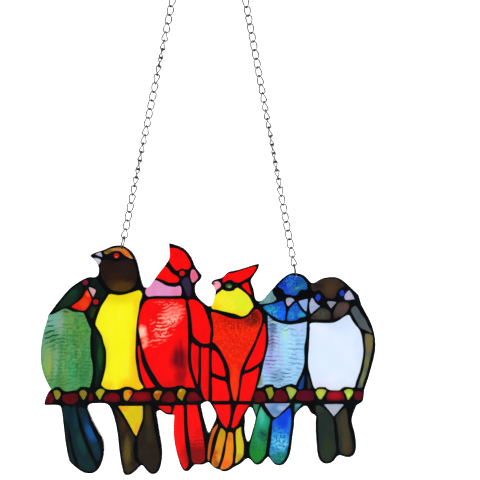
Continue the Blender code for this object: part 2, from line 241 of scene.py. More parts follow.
@dataclass(frozen=True)
class PrintedGlass:
    """Clear acrylic with a translucent ink print that imitates one kind of art glass.

    The accent colour takes the given amount of the texture, whose grain has the given size. Patches
    lie over it, and their edges wander along clouds. All sizes are in millimetres.
    """

    name: str
    base: str
    texture: Texture
    accent: str
    amount: float
    size: float
    patches: tuple[Patch, ...] = ()
    see_through: float = 0.35
    wander: float = 2.5
    clouds: float = 4.5
    roughness: float = 0.22
    specular: float = 0.14

    def material(self) -> bpy.types.Material:
        """Builds the material.

        Returns:
            Its pattern is laid out in the drawing's millimetres, so it lines up with the panes.
        """
        # Translucent ink on clear acrylic: strong colour that light comes through, softly glossy
        material, shader = new_material(f"acrylic_printed_as_{self.name}", {
            "Roughness": self.roughness, "IOR": ACRYLIC_IOR,
            "Specular IOR Level": self.specular, "Transmission Weight": self.see_through,
        })
        tree = material.node_tree
        place = add_node(tree, "ShaderNodeTexCoord", {}).outputs["Object"]
        flat = add_node(tree, "ShaderNodeMapping", {
            "vector_type": "TEXTURE", "Location": DRAWING_ORIGIN, "Scale": (MM, PATTERN_DEPTH, MM),
        }, {"Vector": place}).outputs["Vector"]
        cloud = add_node(tree, "ShaderNodeTexNoise", {
            "Scale": 1.0 / self.clouds, "Detail": 3.0, "Roughness": 0.55,
        }, {"Vector": flat}).outputs["Color"]
        warped = self.shifted(tree, flat, cloud, (2.0 * self.wander, 0.0, 2.0 * self.wander))
        colour = self.textured(tree, flat, warped)
        for patch in self.patches:
            colour = self.patched(tree, flat, warped, colour, patch)
        tree.links.new(colour, shader.inputs["Base Color"])
        return material

    def shifted(self, tree: Tree, place: Socket, cloud: Socket, reach: Triple) -> Socket:
        """Moves places on the sheet by a cloudy pattern.

        Args:
            tree: the material's node tree.
            place: the place to move.
            cloud: the pattern's colour.
            reach: how far it moves them along each axis, in millimetres.

        Returns:
            The socket with the moved place.
        """
        centred = add_node(tree, "ShaderNodeVectorMath", {
            "operation": "SUBTRACT", 1: (0.5, 0.5, 0.5),
        }, {0: cloud}).outputs["Vector"]
        drift = add_node(tree, "ShaderNodeVectorMath", {
            "operation": "MULTIPLY", 1: reach,
        }, {0: centred}).outputs["Vector"]
        return add_node(tree, "ShaderNodeVectorMath", {
            "operation": "ADD",
        }, {0: place, 1: drift}).outputs["Vector"]

    def grain(self, tree: Tree, place: Socket, upright: float, size: float, detail: float) -> Node:
        """An uneven grain on the sheet, which may be drawn out.

        Args:
            tree: the material's node tree.
            place: place on the sheet in millimetres.
            upright: less than one draws the grain out upwards, more draws it out sideways.
            size: the grain's size in millimetres.
            detail: how finely it is broken up.

        Returns:
            The node with the grain as a number and as a colour.
        """
        drawn = add_node(tree, "ShaderNodeVectorMath", {
            "operation": "MULTIPLY", 1: (1.0, 0.0, upright),
        }, {0: place}).outputs["Vector"]
        return add_node(tree, "ShaderNodeTexNoise", {
            "Scale": 1.0 / size, "Detail": detail,
        }, {"Vector": drawn})

    def ripples(self, tree: Tree, place: Socket, size: float) -> Socket:
        """Level ripple lines that break and jump between upright columns.

        Args:
            tree: the material's node tree.
            place: place on the sheet in millimetres.
            size: the distance between two lines.

        Returns:
            The socket with 0 between the lines and 1 on them, where they show.
        """
        column_width, column_jump, break_length = 1.6 * size, 1.6 * size, 1.7 * size
        # At a scale of one the waves are this far apart
        band_pitch = 0.314
        columns = self.grain(tree, place, upright=0.12, size=column_width, detail=1.0)
        jumped = self.shifted(tree, place, columns.outputs["Color"], (0.0, 0.0, column_jump))
        wave = add_node(tree, "ShaderNodeTexWave", {
            "wave_type": "BANDS", "bands_direction": "Z", "Scale": band_pitch / size,
            "Distortion": 3.2, "Detail": 2.0, "Detail Scale": 0.6, "Detail Roughness": 0.5,
        }, {"Vector": jumped}).outputs["Fac"]
        crest = add_node(tree, "ShaderNodeMapRange", {
            "interpolation_type": "SMOOTHSTEP", "From Min": 0.45, "From Max": 0.95,
        }, {"Value": wave}).outputs["Result"]
        breaks = self.grain(tree, place, upright=1.6, size=break_length, detail=2.0).outputs["Fac"]
        shown = add_node(tree, "ShaderNodeMapRange", {
            "From Min": 0.38, "From Max": 0.62, "To Min": 0.15,
        }, {"Value": breaks}).outputs["Result"]
        return add_node(tree, "ShaderNodeMath", {
            "operation": "MULTIPLY",
        }, {0: crest, 1: shown}).outputs["Value"]

    def textured(self, tree: Tree, flat: Socket, warped: Socket) -> Socket:
        """The base colour with the glass's own texture in it.

        Args:
            tree: the material's node tree.
            flat: place on the sheet in millimetres.
            warped: the same, drifting.

        Returns:
            The socket that carries the colour.
        """
        if self.texture is Texture.RIPPLED:
            spread = (0.0, 1.0)
            share = self.ripples(tree, flat, self.size)
        elif self.texture is Texture.HAMMERED:
            spread = (0.15, 0.62)
            share = add_node(tree, "ShaderNodeTexVoronoi", {
                "feature": "SMOOTH_F1", "Scale": 1.0 / self.size, "Smoothness": 0.3,
            }, {"Vector": warped}).outputs["Distance"]
        else:
            spread = (0.35, 0.7)
            place, upright, detail = {
                Texture.SMOOTH: (flat, 1.0, 1.0),
                Texture.STREAKY: (warped, 0.16, 4.0),
                Texture.MOTTLED: (warped, 1.0, 5.0),
            }[self.texture]
            share = self.grain(tree, place, upright, self.size, detail).outputs["Fac"]
        return blended(tree, share, spread, self.base, self.accent, self.amount)

    def patched(self, tree: Tree, flat: Socket, warped: Socket, colour: Socket,
                patch: Patch) -> Socket:
        """Lays one patch over a colour.

        Args:
            tree: the material's node tree.
            flat: place on the sheet in millimetres.
            warped: the same, drifting, which frays the patch's edge.
            colour: the colour so far.
            patch: the patch to lay over it.

        Returns:
            The socket that carries the new colour.
        """
        turn = (0.0, math.radians(patch.turn), 0.0)
        local = add_node(tree, "ShaderNodeMapping", {
            "vector_type": "TEXTURE", "Location": (patch.u, 0.0, patch.v), "Rotation": turn,
            "Scale": (patch.half_width, 1.0, patch.half_height),
        }, {"Vector": warped}).outputs["Vector"]
        ball = add_node(tree, "ShaderNodeTexGradient", {
            "gradient_type": "SPHERICAL",
        }, {"Vector": local}).outputs["Fac"]
        weight = add_node(tree, "ShaderNodeMapRange", {
            "interpolation_type": "SMOOTHSTEP", "From Max": 0.75, "To Max": patch.strength,
        }, {"Value": ball}).outputs["Result"]
        if patch.marks is not Marks.WASH:
            turned = add_node(tree, "ShaderNodeMapping", {
                "vector_type": "TEXTURE", "Rotation": turn,
            }, {"Vector": flat}).outputs["Vector"]
            # The edge is the grain above which the marks show, lower for more cover
            if patch.marks is Marks.RIPPLES:
                grains = self.ripples(tree, turned, patch.mark_size)
                edge = 0.7 - 0.6 * patch.cover
            else:
                upright = 0.14 if patch.marks is Marks.STREAKS else 1.0
                grains = self.grain(
                    tree, turned, upright, patch.mark_size, detail=2.0).outputs["Fac"]
                edge = 0.72 - 0.44 * patch.cover
            shown = add_node(tree, "ShaderNodeMapRange", {
                "interpolation_type": "SMOOTHSTEP",
                "From Min": edge - 0.06, "From Max": edge + 0.08,
            }, {"Value": grains}).outputs["Result"]
            weight = add_node(tree, "ShaderNodeMath", {
                "operation": "MULTIPLY",
            }, {0: weight, 1: shown}).outputs["Value"]
        return add_node(tree, "ShaderNodeMix", {
            "data_type": "RGBA", 7: linear(patch.colour),
        }, {0: weight, 6: colour}).outputs[2]


@dataclass(frozen=True)
class BlackInk:
    """The printed lead lines: dense black ink on the acrylic."""

    name: str = "black_line_ink"
    colour: str = "#040506"
    faint: str = "#080c10"
    clouds_per_metre: float = 90.0
    roughness: float = 0.3
    specular: float = 0.08

    def material(self) -> bpy.types.Material:
        """Builds the material.

        Returns:
            Near black, with a faint blue cast that comes and goes as the print's density does.
        """
        # It lets no light through and has a satin sheen, so the lines stay dark from all sides.
        # The clouds are 11 mm across.
        material, shader = new_material(self.name, {
            "Roughness": self.roughness, "Specular IOR Level": self.specular,
        })
        tree = material.node_tree
        place = add_node(tree, "ShaderNodeTexCoord", {}).outputs["Object"]
        cloud = add_node(tree, "ShaderNodeTexNoise", {
            "Scale": self.clouds_per_metre, "Detail": 2.0,
        }, {"Vector": place}).outputs["Fac"]
        colour = blended(tree, cloud, (0.4, 0.7), self.colour, self.faint)
        tree.links.new(colour, shader.inputs["Base Color"])
        return material


@dataclass(frozen=True)
class ClearEdge:
    """The cut edge of clear acrylic, taken to be cut by laser."""

    name: str = "clear_cut_acrylic"
    colour: str = "#eef4f4"
    lines_per_metre: Triple = (2500.0, 150.0, 2500.0)
    see_through: float = 0.92

    def material(self) -> bpy.types.Material:
        """Builds the material.

        Returns:
            See-through acrylic whose edge has the faint lines that the cut leaves across it.
        """
        # Clear and almost polished: it glints, and the cut's lines break the glint up. They are
        # drawn 0.4 mm apart, coarser than such lines are taken to be.
        material, shader = new_material(self.name, {
            "Base Color": linear(self.colour), "IOR": ACRYLIC_IOR,
            "Transmission Weight": self.see_through,
        })
        tree = material.node_tree
        place = add_node(tree, "ShaderNodeTexCoord", {}).outputs["Object"]
        lines = add_node(tree, "ShaderNodeVectorMath", {
            "operation": "MULTIPLY", 1: self.lines_per_metre,
        }, {0: place}).outputs["Vector"]
        cut = add_node(tree, "ShaderNodeTexNoise", {"Scale": 1.0, "Detail": 2.0}, {"Vector": lines})
        rough = add_node(tree, "ShaderNodeMapRange", {
            "To Min": 0.08, "To Max": 0.3,
        }, {"Value": cut.outputs["Fac"]}).outputs["Result"]
        tree.links.new(rough, shader.inputs["Roughness"])
        return material


@dataclass(frozen=True)
class PlatedSteel:
    """Fine chain wire, taken to be drawn steel with bright nickel plating."""

    name: str = "nickel_plated_wire"
    colour: str = "#787a7e"
    rubbed: str = "#54565a"
    rim: str = "#4a4c50"
    rubs_per_metre: float = 600.0

    def material(self) -> bpy.types.Material:
        """Builds the material.

        Returns:
            Bright metal whose tone and gloss vary over a millimetre or two.
        """
        # A mirror-like grey that takes dark and light from the room. Where links rub it is dulled,
        # in spots 1.7 mm long.
        material, shader = new_material(self.name, {
            "Metallic": 1.0, "Specular Tint": linear(self.rim),
        })
        tree = material.node_tree
        place = add_node(tree, "ShaderNodeTexCoord", {}).outputs["Object"]
        wear = add_node(tree, "ShaderNodeTexNoise", {
            "Scale": self.rubs_per_metre, "Detail": 3.0,
        }, {"Vector": place}).outputs["Fac"]
        colour = blended(tree, wear, (0.35, 0.7), self.colour, self.rubbed)
        rough = add_node(tree, "ShaderNodeMapRange", {
            "To Min": 0.14, "To Max": 0.3,
        }, {"Value": wear}).outputs["Result"]
        tree.links.new(colour, shader.inputs["Base Color"])
        tree.links.new(rough, shader.inputs["Roughness"])
        return material


SMOOTH, STREAKY, MOTTLED, RIPPLED, HAMMERED = Texture
WASH, SPECKS, STREAKS, RIPPLES = Marks

# The printed glasses, each named for the art glass or part of the picture that it imitates. To the
# eye, smooth glass is one even colour, streaky glass has upright strokes of its second colour,
# mottled glass soft blots of it, rippled glass level lines that break up, and hammered glass small
# round dimples. The print is flat, so all of this is only colour.
GLASSES = (
    PrintedGlass("rippled_green_glass", "#50a05c", RIPPLED, "#1c6234", 0.65, 2.9, (
        Patch(-102, 34, 30, 44, "#2f8a58", 0.6, 0, STREAKS, 3.4, 0.5),
        Patch(-100, 36, 30, 44, "#86a448", 0.4, 3, STREAKS, 4.6, 0.4),
        Patch(-112, 56, 12, 12, "#74b39e", 0.9),
        Patch(-119, 40, 8, 18, "#68a186", 0.75),
        Patch(-106, 53, 3.5, 13, "#8ea492", 0.75),
        Patch(-99, 55, 6, 14, "#6f9c4c", 0.8),
        Patch(-115, 27, 6, 19, "#88aa60", 0.8),
        Patch(-115, 22, 4, 12, "#a4b43c", 0.6, 6, STREAKS, 2.2, 0.55),
        Patch(-109, 28, 3, 22, "#90ae88", 0.6, 4),
        Patch(-98, 22, 6, 16, "#2fa468", 0.6),
        Patch(-91, 47, 6, 14, "#5a9a38", 0.85),
        Patch(-89, 20, 7, 20, "#358446", 0.85),
        Patch(-105, 12, 6, 8, "#4c7c34", 0.6),
        Patch(-101.5, 62, 3, 1.8, "#6a3a2c", 0.9),
        Patch(-88.5, 57, 3, 2.5, "#8a7a30", 0.6),
        Patch(-113, 46, 10, 17, "#123a30", 0.9, -24, RIPPLES, 3.4, 0.5),
        Patch(-112, 14, 8, 9, "#2a5a2a", 0.6, -10, RIPPLES, 2.6, 0.45),
        Patch(-103, 40, 9, 24, "#14522c", 0.7, 0, RIPPLES, 2.6, 0.4),
        Patch(-94.5, 40, 2.2, 34, "#14502c", 0.75, 0, SPECKS, 1.3, 0.55),
        Patch(-92, 36, 13, 40, "#2a7634", 0.6, 0, SPECKS, 2.2, 0.5),
        Patch(-97, 38, 15, 34, "#6cb04c", 0.45, 0, SPECKS, 2.6, 0.4),
        Patch(-106, 22, 9, 18, "#2c8448", 0.5, 0, SPECKS, 2.4, 0.45),
        Patch(-100, 30, 26, 34, "#9ccf9c", 0.15, 0, RIPPLES, 2.4, 0.3),
    )),
    PrintedGlass("deep_green_glass", "#07120e", STREAKY, "#0c1f17", 0.8, 5.0, (
        Patch(-101, 72, 12, 9, "#13301f", 0.9, -45),
        Patch(-97, 76, 5, 4, "#123a2c", 0.7),
        Patch(-82, 61, 4, 6, "#22350f", 0.9),
        Patch(-77.5, 30, 2.6, 14, "#0c4818", 1.0),
        Patch(-78, 42, 3, 5, "#123018", 0.7),
        Patch(-80, 19, 3, 9, "#0a2a26", 0.8),
    ), 0.15, 1.2),
    PrintedGlass("flame_glass", "#ee1e0a", MOTTLED, "#d01406", 0.5, 4.0, (
        Patch(-89.5, 68.5, 6, 4.5, "#ea3e08", 0.95, 35),
        Patch(-86, 74.5, 2.5, 3, "#ff6a20", 0.6),
    )),
    PrintedGlass("berry_glass", "#7a1636", SMOOTH, "#601030", 0.4, 3.0, (
        Patch(-80.5, 69.3, 5, 5, "#a81614", 1.0),
        Patch(-65.7, 102.5, 6, 6, "#ba1614", 1.0),
        Patch(-65.9, 101.6, 1.2, 1, "#e86a5a", 0.8),
        Patch(-18.5, 89.8, 6, 6, "#cf1216", 1.0),
    ), 0.2, 0.0),
    PrintedGlass("pearl_glass", "#aab6da", MOTTLED, "#8f9cc4", 0.6, 3.0, (
        Patch(-83, 76.5, 7, 7, "#d2a8ab", 1.0),
        Patch(-79, 103.5, 4, 2.5, "#b2aebd", 1.0),
        Patch(-79, 98.3, 6, 3.2, "#c0c6ca", 1.0),
        Patch(58, 70.5, 3.5, 3, "#9aa6ca", 0.9),
        Patch(58.2, 67.8, 2.4, 2, "#d2a4b8", 0.9),
        Patch(69, 67.5, 4.5, 6, "#86abe8", 1.0),
        Patch(101.5, 74, 6, 5, "#b6b2cc", 1.0),
        Patch(88.5, 68, 5, 3.5, "#8c909f", 1.0),
        Patch(50, -8, 12, 8, "#5c8dbe", 1.0),
        Patch(53, -7, 5, 3, "#b4c6ea", 0.7),
        Patch(90.5, -8, 9, 7, "#b2bac8", 1.0),
    ), 0.35, 1.0),
    PrintedGlass("amber_brow_glass", "#b08232", MOTTLED, "#d09a48", 0.7, 2.5, (
        Patch(-59, 104.5, 7, 5, "#dc6a1e", 1.0, 40),
        Patch(-66, 107.2, 5, 2.5, "#c87a3c", 0.8),
        Patch(-71.5, 105.4, 6, 2.4, "#6e4c1c", 0.9),
        Patch(-55, 101, 2.5, 2, "#c8a27c", 0.7),
    ), 0.35, 0.8),
    PrintedGlass("umber_head_glass", "#1b100e", MOTTLED, "#2c1a14", 0.8, 5.0, (
        Patch(-60, 90, 9, 9, "#241a14", 0.8),
        Patch(-67, 85, 10, 7, "#34190e", 0.7),
        Patch(-62, 79, 15, 7.5, "#4e340e", 0.95),
        Patch(-70, 82, 5, 4, "#2f2314", 0.6),
        Patch(-65, 101, 12, 5, "#0d0809", 0.9),
    ), 0.15),
    PrintedGlass("yellow_breast_glass", "#f6f00c", STREAKY, "#f8f43c", 0.4, 5.0, (
        Patch(-64, 74.5, 22, 10, "#e8d402", 0.9),
        Patch(-73, 30, 4, 20, "#ece020", 0.7),
        Patch(-50.5, 24, 8, 46, "#f6c410", 0.95),
        Patch(-56, 9, 12, 8, "#f4c406", 0.85),
        Patch(-72, 9, 7, 6, "#f0cc0c", 0.7),
        Patch(-51, 66, 5, 14, "#f2d008", 0.8),
        Patch(-52, -13, 16, 18, "#dcc40c", 1.0),
        Patch(-61, -7, 7, 4, "#ecaa12", 0.95),
        Patch(-51, -22, 3, 6, "#f0a818", 0.9),
    ), 0.35, 1.5),
    PrintedGlass("scarlet_glass", "#fb0506", SMOOTH, "#ee0308", 0.5, 6.0, (
        Patch(-20.5, 28, 9, 12, "#660414", 0.9),
        Patch(-20.5, 26, 8, 20, "#5c0414", 0.6, 0, STREAKS, 2.2, 0.5),
        Patch(-19.5, 15, 6, 10, "#84040f", 0.75),
        Patch(-20, 38, 3.5, 6, "#b00410", 0.6),
        Patch(-24, 10, 12, 4, "#c80810", 0.6),
        Patch(-31, 55, 13, 22, "#e41010", 0.5, 40),
        # Pale pink strokes, specks and the pale patch on the red breast: painted glints, light
        # caught on rippled glass, drawn as part of the print
        Patch(-25, 62, 11, 8, "#ffae96", 0.95, -15, RIPPLES, 2.5, 0.62),
        Patch(-33, 51, 10, 12, "#ffb49c", 0.95, -12, RIPPLES, 2.7, 0.55),
        Patch(-26, 58, 9, 7, "#ffc4b0", 0.9, -30, SPECKS, 2.0, 0.6),
        Patch(-24, 62, 9, 6, "#ff6a5c", 0.7, -20),
        Patch(-33, 46, 6, 7, "#ffb09a", 0.8, -20, SPECKS, 2.0, 0.4),
        Patch(-38, 41, 7, 5, "#ff9c88", 0.8, -10, RIPPLES, 2.2, 0.5),
        Patch(-30, 68, 12, 3, "#ff8c7c", 0.7, 0, RIPPLES, 2.0, 0.5),
        Patch(-47.4, 47.6, 4.4, 6, "#fbcdb6", 1.0),
        Patch(-45.5, 40, 3, 6.5, "#ff9a80", 0.95, 14, SPECKS, 2.2, 0.75),
        Patch(-21, 103, 5, 4, "#c80410", 0.6, 0, SPECKS, 2.0, 0.5),
        Patch(-7.5, -41, 16, 13, "#840002", 0.95),
        Patch(-8, -36, 13, 15, "#8a0004", 0.8, 0, RIPPLES, 2.6, 0.6),
        Patch(-6, -25, 5, 8, "#d40006", 0.5),
        Patch(0, 5, 3, 25, "#da000c", 0.5),
        Patch(-9, 28, 3, 12, "#d6000c", 0.6),
        Patch(-29, -8, 7, 3, "#cc0e0c", 0.7),
    )),
    PrintedGlass("rose_glass", "#e28cc0", STREAKY, "#e4a2cc", 0.5, 5.0, (
        Patch(-23, 76, 6, 5, "#e67ca6", 0.8),
        Patch(-9.5, 88, 5, 7, "#ea6084", 1.0),
        Patch(6.5, 82, 5, 5, "#fa9aac", 1.0),
        Patch(4.5, 79.5, 3, 3, "#f4b0b4", 0.8),
        Patch(3.6, 82.4, 2.2, 1.8, "#8c1c2c", 0.9),
    ), 0.35, 0.8),
    PrintedGlass("plum_glass", "#29263f", MOTTLED, "#352848", 0.8, 3.0, (
        Patch(-14, 75.5, 3, 3, "#3a123a", 0.8),
    ), 0.15),
    PrintedGlass("lemon_face_glass", "#f2e81a", MOTTLED, "#e8e436", 0.6, 4.0, (
        Patch(24, 69, 9, 9, "#dcec26", 0.9),
        Patch(6, 66, 6, 5, "#f6d210", 0.9),
        Patch(21, 61.5, 9, 3, "#f2dc12", 0.7),
        Patch(14, 68, 10, 8, "#fdf04a", 0.3, 0, SPECKS, 2.4, 0.45),
    )),
    PrintedGlass("hammered_orange_glass", "#ff2c04", HAMMERED, "#e21004", 0.7, 1.9, (
        Patch(32, 58, 9.5, 9.5, "#4a0604", 0.92),
        Patch(26, 57, 8, 5, "#8a0e08", 0.6),
        Patch(14, 57, 10, 4, "#d80c04", 0.6),
        Patch(19, 8, 5, 20, "#fb3606", 0.8),
        Patch(29, 55, 9, 10, "#f8502a", 0.55, 0, SPECKS, 1.3, 0.35),
        Patch(17, 42, 15, 20, "#ff5a1c", 0.4, 0, SPECKS, 1.5, 0.32),
        Patch(20, 54, 19, 9, "#9c0c04", 0.75, 0, SPECKS, 1.6, 0.5),
        Patch(19, 38, 13, 12, "#c80c04", 0.6, 0, SPECKS, 1.3, 0.42),
    ), 0.35, 0.6),
    PrintedGlass("leaf_eye_glass", "#3f5f2a", SMOOTH, "#2f4a22", 0.5, 2.0, (
        # The pale spot in the eye is a painted highlight, drawn as part of the print
        Patch(15.5, 80.2, 1.7, 1.1, "#86ac70", 0.9),
    ), 0.2, 0.0),
    PrintedGlass("feather_rust_glass", "#cc5e16", STREAKY, "#b24c10", 0.6, 3.0, (
        Patch(5.5, -22, 3, 4, "#d8641c", 0.8),
    )),
    PrintedGlass("feather_gold_glass", "#df9210", STREAKY, "#c8800c", 0.6, 4.0, (
        Patch(10.5, -25, 5, 6, "#c69c08", 0.95),
        Patch(8, -32, 4, 6, "#e09810", 0.6),
        Patch(4.5, -41, 4.5, 7, "#c8380c", 0.9),
        Patch(6, -47, 4, 4, "#a8500f", 0.9),
        Patch(6.5, -42, 3, 4, "#d8a424", 0.6, 0, SPECKS, 1.6, 0.45),
        Patch(8, -43, 2, 4, "#e8a41c", 0.6),
    ), 0.35, 1.0),
    PrintedGlass("feather_orange_glass", "#ec8008", STREAKY, "#f0900c", 0.6, 4.0, (
        Patch(13, -47, 5, 5, "#f46a10", 0.9),
        Patch(15, -28, 3, 5, "#d86a08", 0.6),
    ), 0.35, 1.0),
    PrintedGlass("feather_yellow_glass", "#d4c41c", STREAKY, "#e0d030", 0.5, 4.0, (
        Patch(22.5, -43, 5, 5, "#c8a010", 0.9),
        Patch(21, -25, 2, 5, "#e0b020", 0.6),
    ), 0.35, 1.0),
    PrintedGlass("royal_blue_glass", "#1a58d4", MOTTLED, "#0a2cae", 0.85, 5.0, (
        Patch(54, 83, 5, 5, "#0a22b0", 0.7, 30),
        Patch(59, 81, 3, 7, "#3a78e4", 0.7),
        Patch(67, 81, 6, 6, "#156a9c", 0.9),
        Patch(61, 84, 12, 7, "#2f9ec8", 0.55, 0, SPECKS, 1.7, 0.42),
        Patch(62.5, 78.5, 4, 4, "#0c6282", 0.9),
        Patch(66, 84, 5, 3, "#0f4a84", 0.6),
        Patch(64, 79, 5, 2, "#58a4a4", 0.6, -25, SPECKS, 2.0, 0.6),
        Patch(44, 64, 7, 5, "#1d83b4", 0.95),
        Patch(49, 64.5, 4, 3, "#1060b8", 0.7),
        Patch(46.5, 62.5, 5, 3, "#38b0c4", 0.6, 20, SPECKS, 1.8, 0.55),
        Patch(48, 63, 11, 7, "#0c56a8", 0.8, 0, SPECKS, 1.6, 0.5),
        Patch(49, 62, 11, 7, "#3cc0e8", 0.7, 25, SPECKS, 1.5, 0.45),
        Patch(53, 61, 4.5, 6, "#0468fc", 0.8),
        Patch(63, 62, 7, 9, "#0c3ea4", 0.7, 0, SPECKS, 1.7, 0.5),
        Patch(63, 62, 7, 9, "#2ea6e0", 0.7, 30, SPECKS, 1.6, 0.45),
        Patch(59, 82, 12, 7, "#0a2a9c", 0.7, 0, SPECKS, 1.8, 0.5),
        Patch(63, 62, 4, 6, "#1a5cc8", 0.9),
        Patch(60, 60, 3, 5, "#22a0cc", 0.6, 0, SPECKS, 2.0, 0.55),
        Patch(67.5, 60, 4, 3, "#2aa0c4", 0.9),
    ), 0.35, 1.5),
    PrintedGlass("pale_teal_glass", "#6d9ca4", MOTTLED, "#84b2b0", 0.7, 3.0, (
        Patch(38.5, 69, 5, 3, "#4f8c8e", 0.7),
        Patch(46.5, 71.5, 2.5, 4, "#567e86", 0.6),
    )),
    PrintedGlass("rippled_sky_glass", "#a2d6f6", RIPPLED, "#7a90c8", 0.75, 2.9, (
        Patch(57, 40, 8, 20, "#a2e6f6", 0.8),
        Patch(67, 30, 6, 20, "#a0d2fb", 0.7),
        Patch(65, 53, 9, 8, "#b4ccf8", 0.8),
        Patch(62, 44, 12, 22, "#c8d4fc", 0.5, 0, STREAKS, 3.0, 0.4),
        Patch(46, 52, 5, 9, "#587aa6", 0.95),
        Patch(45.5, 40, 4, 12, "#7476a8", 0.9),
        Patch(43, 27, 6, 16, "#a2aaea", 0.85),
        Patch(48, 36, 11, 28, "#b6a8e2", 0.55, 0, STREAKS, 2.6, 0.5),
        Patch(50, 15, 8, 8, "#7aa4c8", 0.85),
        Patch(55.5, 47, 2.5, 7, "#b4ecc8", 0.85),
        Patch(49, 55, 7, 2.5, "#c8f0f0", 0.5),
        Patch(46, 53, 6, 10, "#3c4670", 0.8, 0, RIPPLES, 2.6, 0.5),
        Patch(46, 42, 7, 10, "#5a3f7c", 0.8, 0, RIPPLES, 2.4, 0.5),
        Patch(45, 28, 7, 10, "#3a4488", 0.7, 0, RIPPLES, 2.6, 0.5),
        Patch(52, 15, 14, 9, "#3c5a90", 0.75, 0, RIPPLES, 2.4, 0.5),
        Patch(63, 32, 9, 22, "#4a74b4", 0.6, 0, RIPPLES, 3.4, 0.45),
        Patch(60, 50, 12, 8, "#5484b0", 0.6, 0, RIPPLES, 3.0, 0.4),
        Patch(36.5, 12.5, 4.5, 7, "#88946c", 1.0),
    )),
    PrintedGlass("opal_white_glass", "#dce9fb", SMOOTH, "#e6effc", 0.6, 14.0, (
        Patch(95, 54, 14, 12, "#cfe0f6", 0.8),
        Patch(76, 30, 4, 26, "#dceafc", 0.6),
        Patch(108, 38, 4, 16, "#d4e4fa", 0.6),
        Patch(80, 9, 14, 6, "#e4e0f0", 0.8),
        Patch(98, 9, 12, 5, "#dce4f4", 0.7),
    )),
    PrintedGlass("bead_blue_glass", "#2240c0", SMOOTH, "#1428a0", 0.5, 2.0, (), 0.25),
    PrintedGlass("slate_brown_glass", "#3b2c22", MOTTLED, "#2c221e", 0.8, 5.0, (
        Patch(88, 79, 6, 7, "#4a341e", 0.7),
        Patch(79, 80.5, 6, 4, "#241c1d", 0.8),
        Patch(81, 60.5, 9, 6, "#42443c", 0.95),
        Patch(96, 64, 8, 7, "#4e403f", 0.95),
        Patch(99, 66, 3, 3, "#5c443a", 0.6),
        Patch(80, 60, 9, 6, "#26282a", 0.7, 0, SPECKS, 2.0, 0.35),
    ), 0.15, 1.5),
    PrintedGlass("olive_wing_glass", "#535c5e", STREAKY, "#465058", 0.7, 4.0, (
        Patch(115.5, 40, 4, 12, "#7a6c38", 1.0),
        Patch(114, 26, 4, 8, "#74703e", 0.9),
        Patch(111.5, 14, 4, 10, "#727a50", 0.95),
        Patch(106, 62, 4, 5, "#4a5a62", 0.8),
    ), 0.2, 1.0),
    PrintedGlass("slate_tail_glass", "#1d2b26", MOTTLED, "#262f2a", 0.8, 5.0, (
        Patch(98, -18, 6, 16, "#3e3926", 0.95),
        Patch(99, -32, 4, 12, "#453c24", 0.9),
        Patch(101, -36, 3, 6, "#4c2e20", 0.6),
        Patch(85, -36, 8, 12, "#28341f", 0.9),
        Patch(79.5, -7, 3, 4, "#3c4c30", 0.8),
        Patch(80, -8, 5, 4, "#2a3230", 0.8),
        Patch(81.5, -30, 2, 12, "#1a2a30", 0.7),
    ), 0.15, 1.5),
    PrintedGlass("walnut_tail_glass", "#281e14", MOTTLED, "#1d1710", 0.8, 6.0, (
        Patch(-58, -38, 4, 15, "#5c4c1a", 0.95),
        Patch(-61, -18, 3, 9, "#3e240e", 0.9),
        Patch(-57, -50, 4, 5, "#40301a", 0.8),
        Patch(-43, -13, 3.5, 12, "#3b2a0f", 0.95),
        Patch(-42, -26, 4, 10, "#2e2a18", 0.8),
        Patch(-42, -46, 6, 8, "#221c1a", 0.8),
    ), 0.15, 1.5),
    PrintedGlass("night_tail_glass", "#07222b", MOTTLED, "#082c30", 0.8, 5.0, (
        Patch(-86.5, -18, 3.5, 9, "#0a2c58", 0.9, -20),
        Patch(-84, -25, 4.5, 10, "#0f4f92", 0.95, -25),
        Patch(-80.5, -36, 3, 8, "#0a3040", 0.9, -15),
        Patch(-91, -32, 4, 12, "#0c3c38", 0.85, -15),
        Patch(-94, -16, 4, 8, "#0a3346", 0.8),
        Patch(-88, -46, 6, 5, "#082a2c", 0.7),
        Patch(-101, -30, 3, 14, "#0c1822", 0.9),
    ), 0.15, 1.0),
    PrintedGlass("emerald_feather_glass", "#14863a", MOTTLED, "#0c7430", 0.7, 4.0, (
        Patch(39, -14, 7, 13, "#1cab94", 0.95),
        Patch(38.5, -12, 3, 9, "#54c49c", 0.7),
        Patch(36, -26, 4, 10, "#149070", 0.85),
        Patch(41, -28, 3.5, 7, "#0a5c44", 0.8),
        Patch(39, -26, 5, 5, "#084840", 0.9),
        Patch(36, -41, 7, 6, "#128a20", 0.85),
        Patch(38, -30, 8, 20, "#2e9c54", 0.45, 0, SPECKS, 1.8, 0.45),
        Patch(34.5, -7, 3, 5, "#3c7a5c", 0.9),
        Patch(65, -6, 5, 4, "#357080", 1.0),
        Patch(64.5, -5, 3, 1.5, "#5ca4ac", 0.7),
    ), 0.35, 1.5),
    PrintedGlass("cobalt_feather_glass", "#0848e6", MOTTLED, "#0436cc", 0.7, 4.0, (
        Patch(48, -24, 4, 14, "#1a6cd0", 0.8),
        Patch(59, -22, 3, 12, "#1878dc", 0.8),
        Patch(51, -33, 14, 12, "#1278b4", 0.95),
        Patch(52, -43, 14, 10, "#087466", 0.95),
        Patch(51, -31, 13, 13, "#36aeea", 0.85, 0, SPECKS, 2.4, 0.55),
        Patch(52, -32, 9, 7, "#7cdcf4", 0.85, 20, SPECKS, 1.8, 0.5),
        Patch(47, -40, 6, 7, "#3ca0cc", 0.8, 0, SPECKS, 2.4, 0.6),
        Patch(51, -43, 9, 6, "#087466", 0.7),
        Patch(53, -42, 8, 6, "#3cb49c", 0.5, 0, SPECKS, 2.0, 0.4),
        Patch(67, 12, 6, 8, "#123f80", 1.0),
    ), 0.35, 1.5),
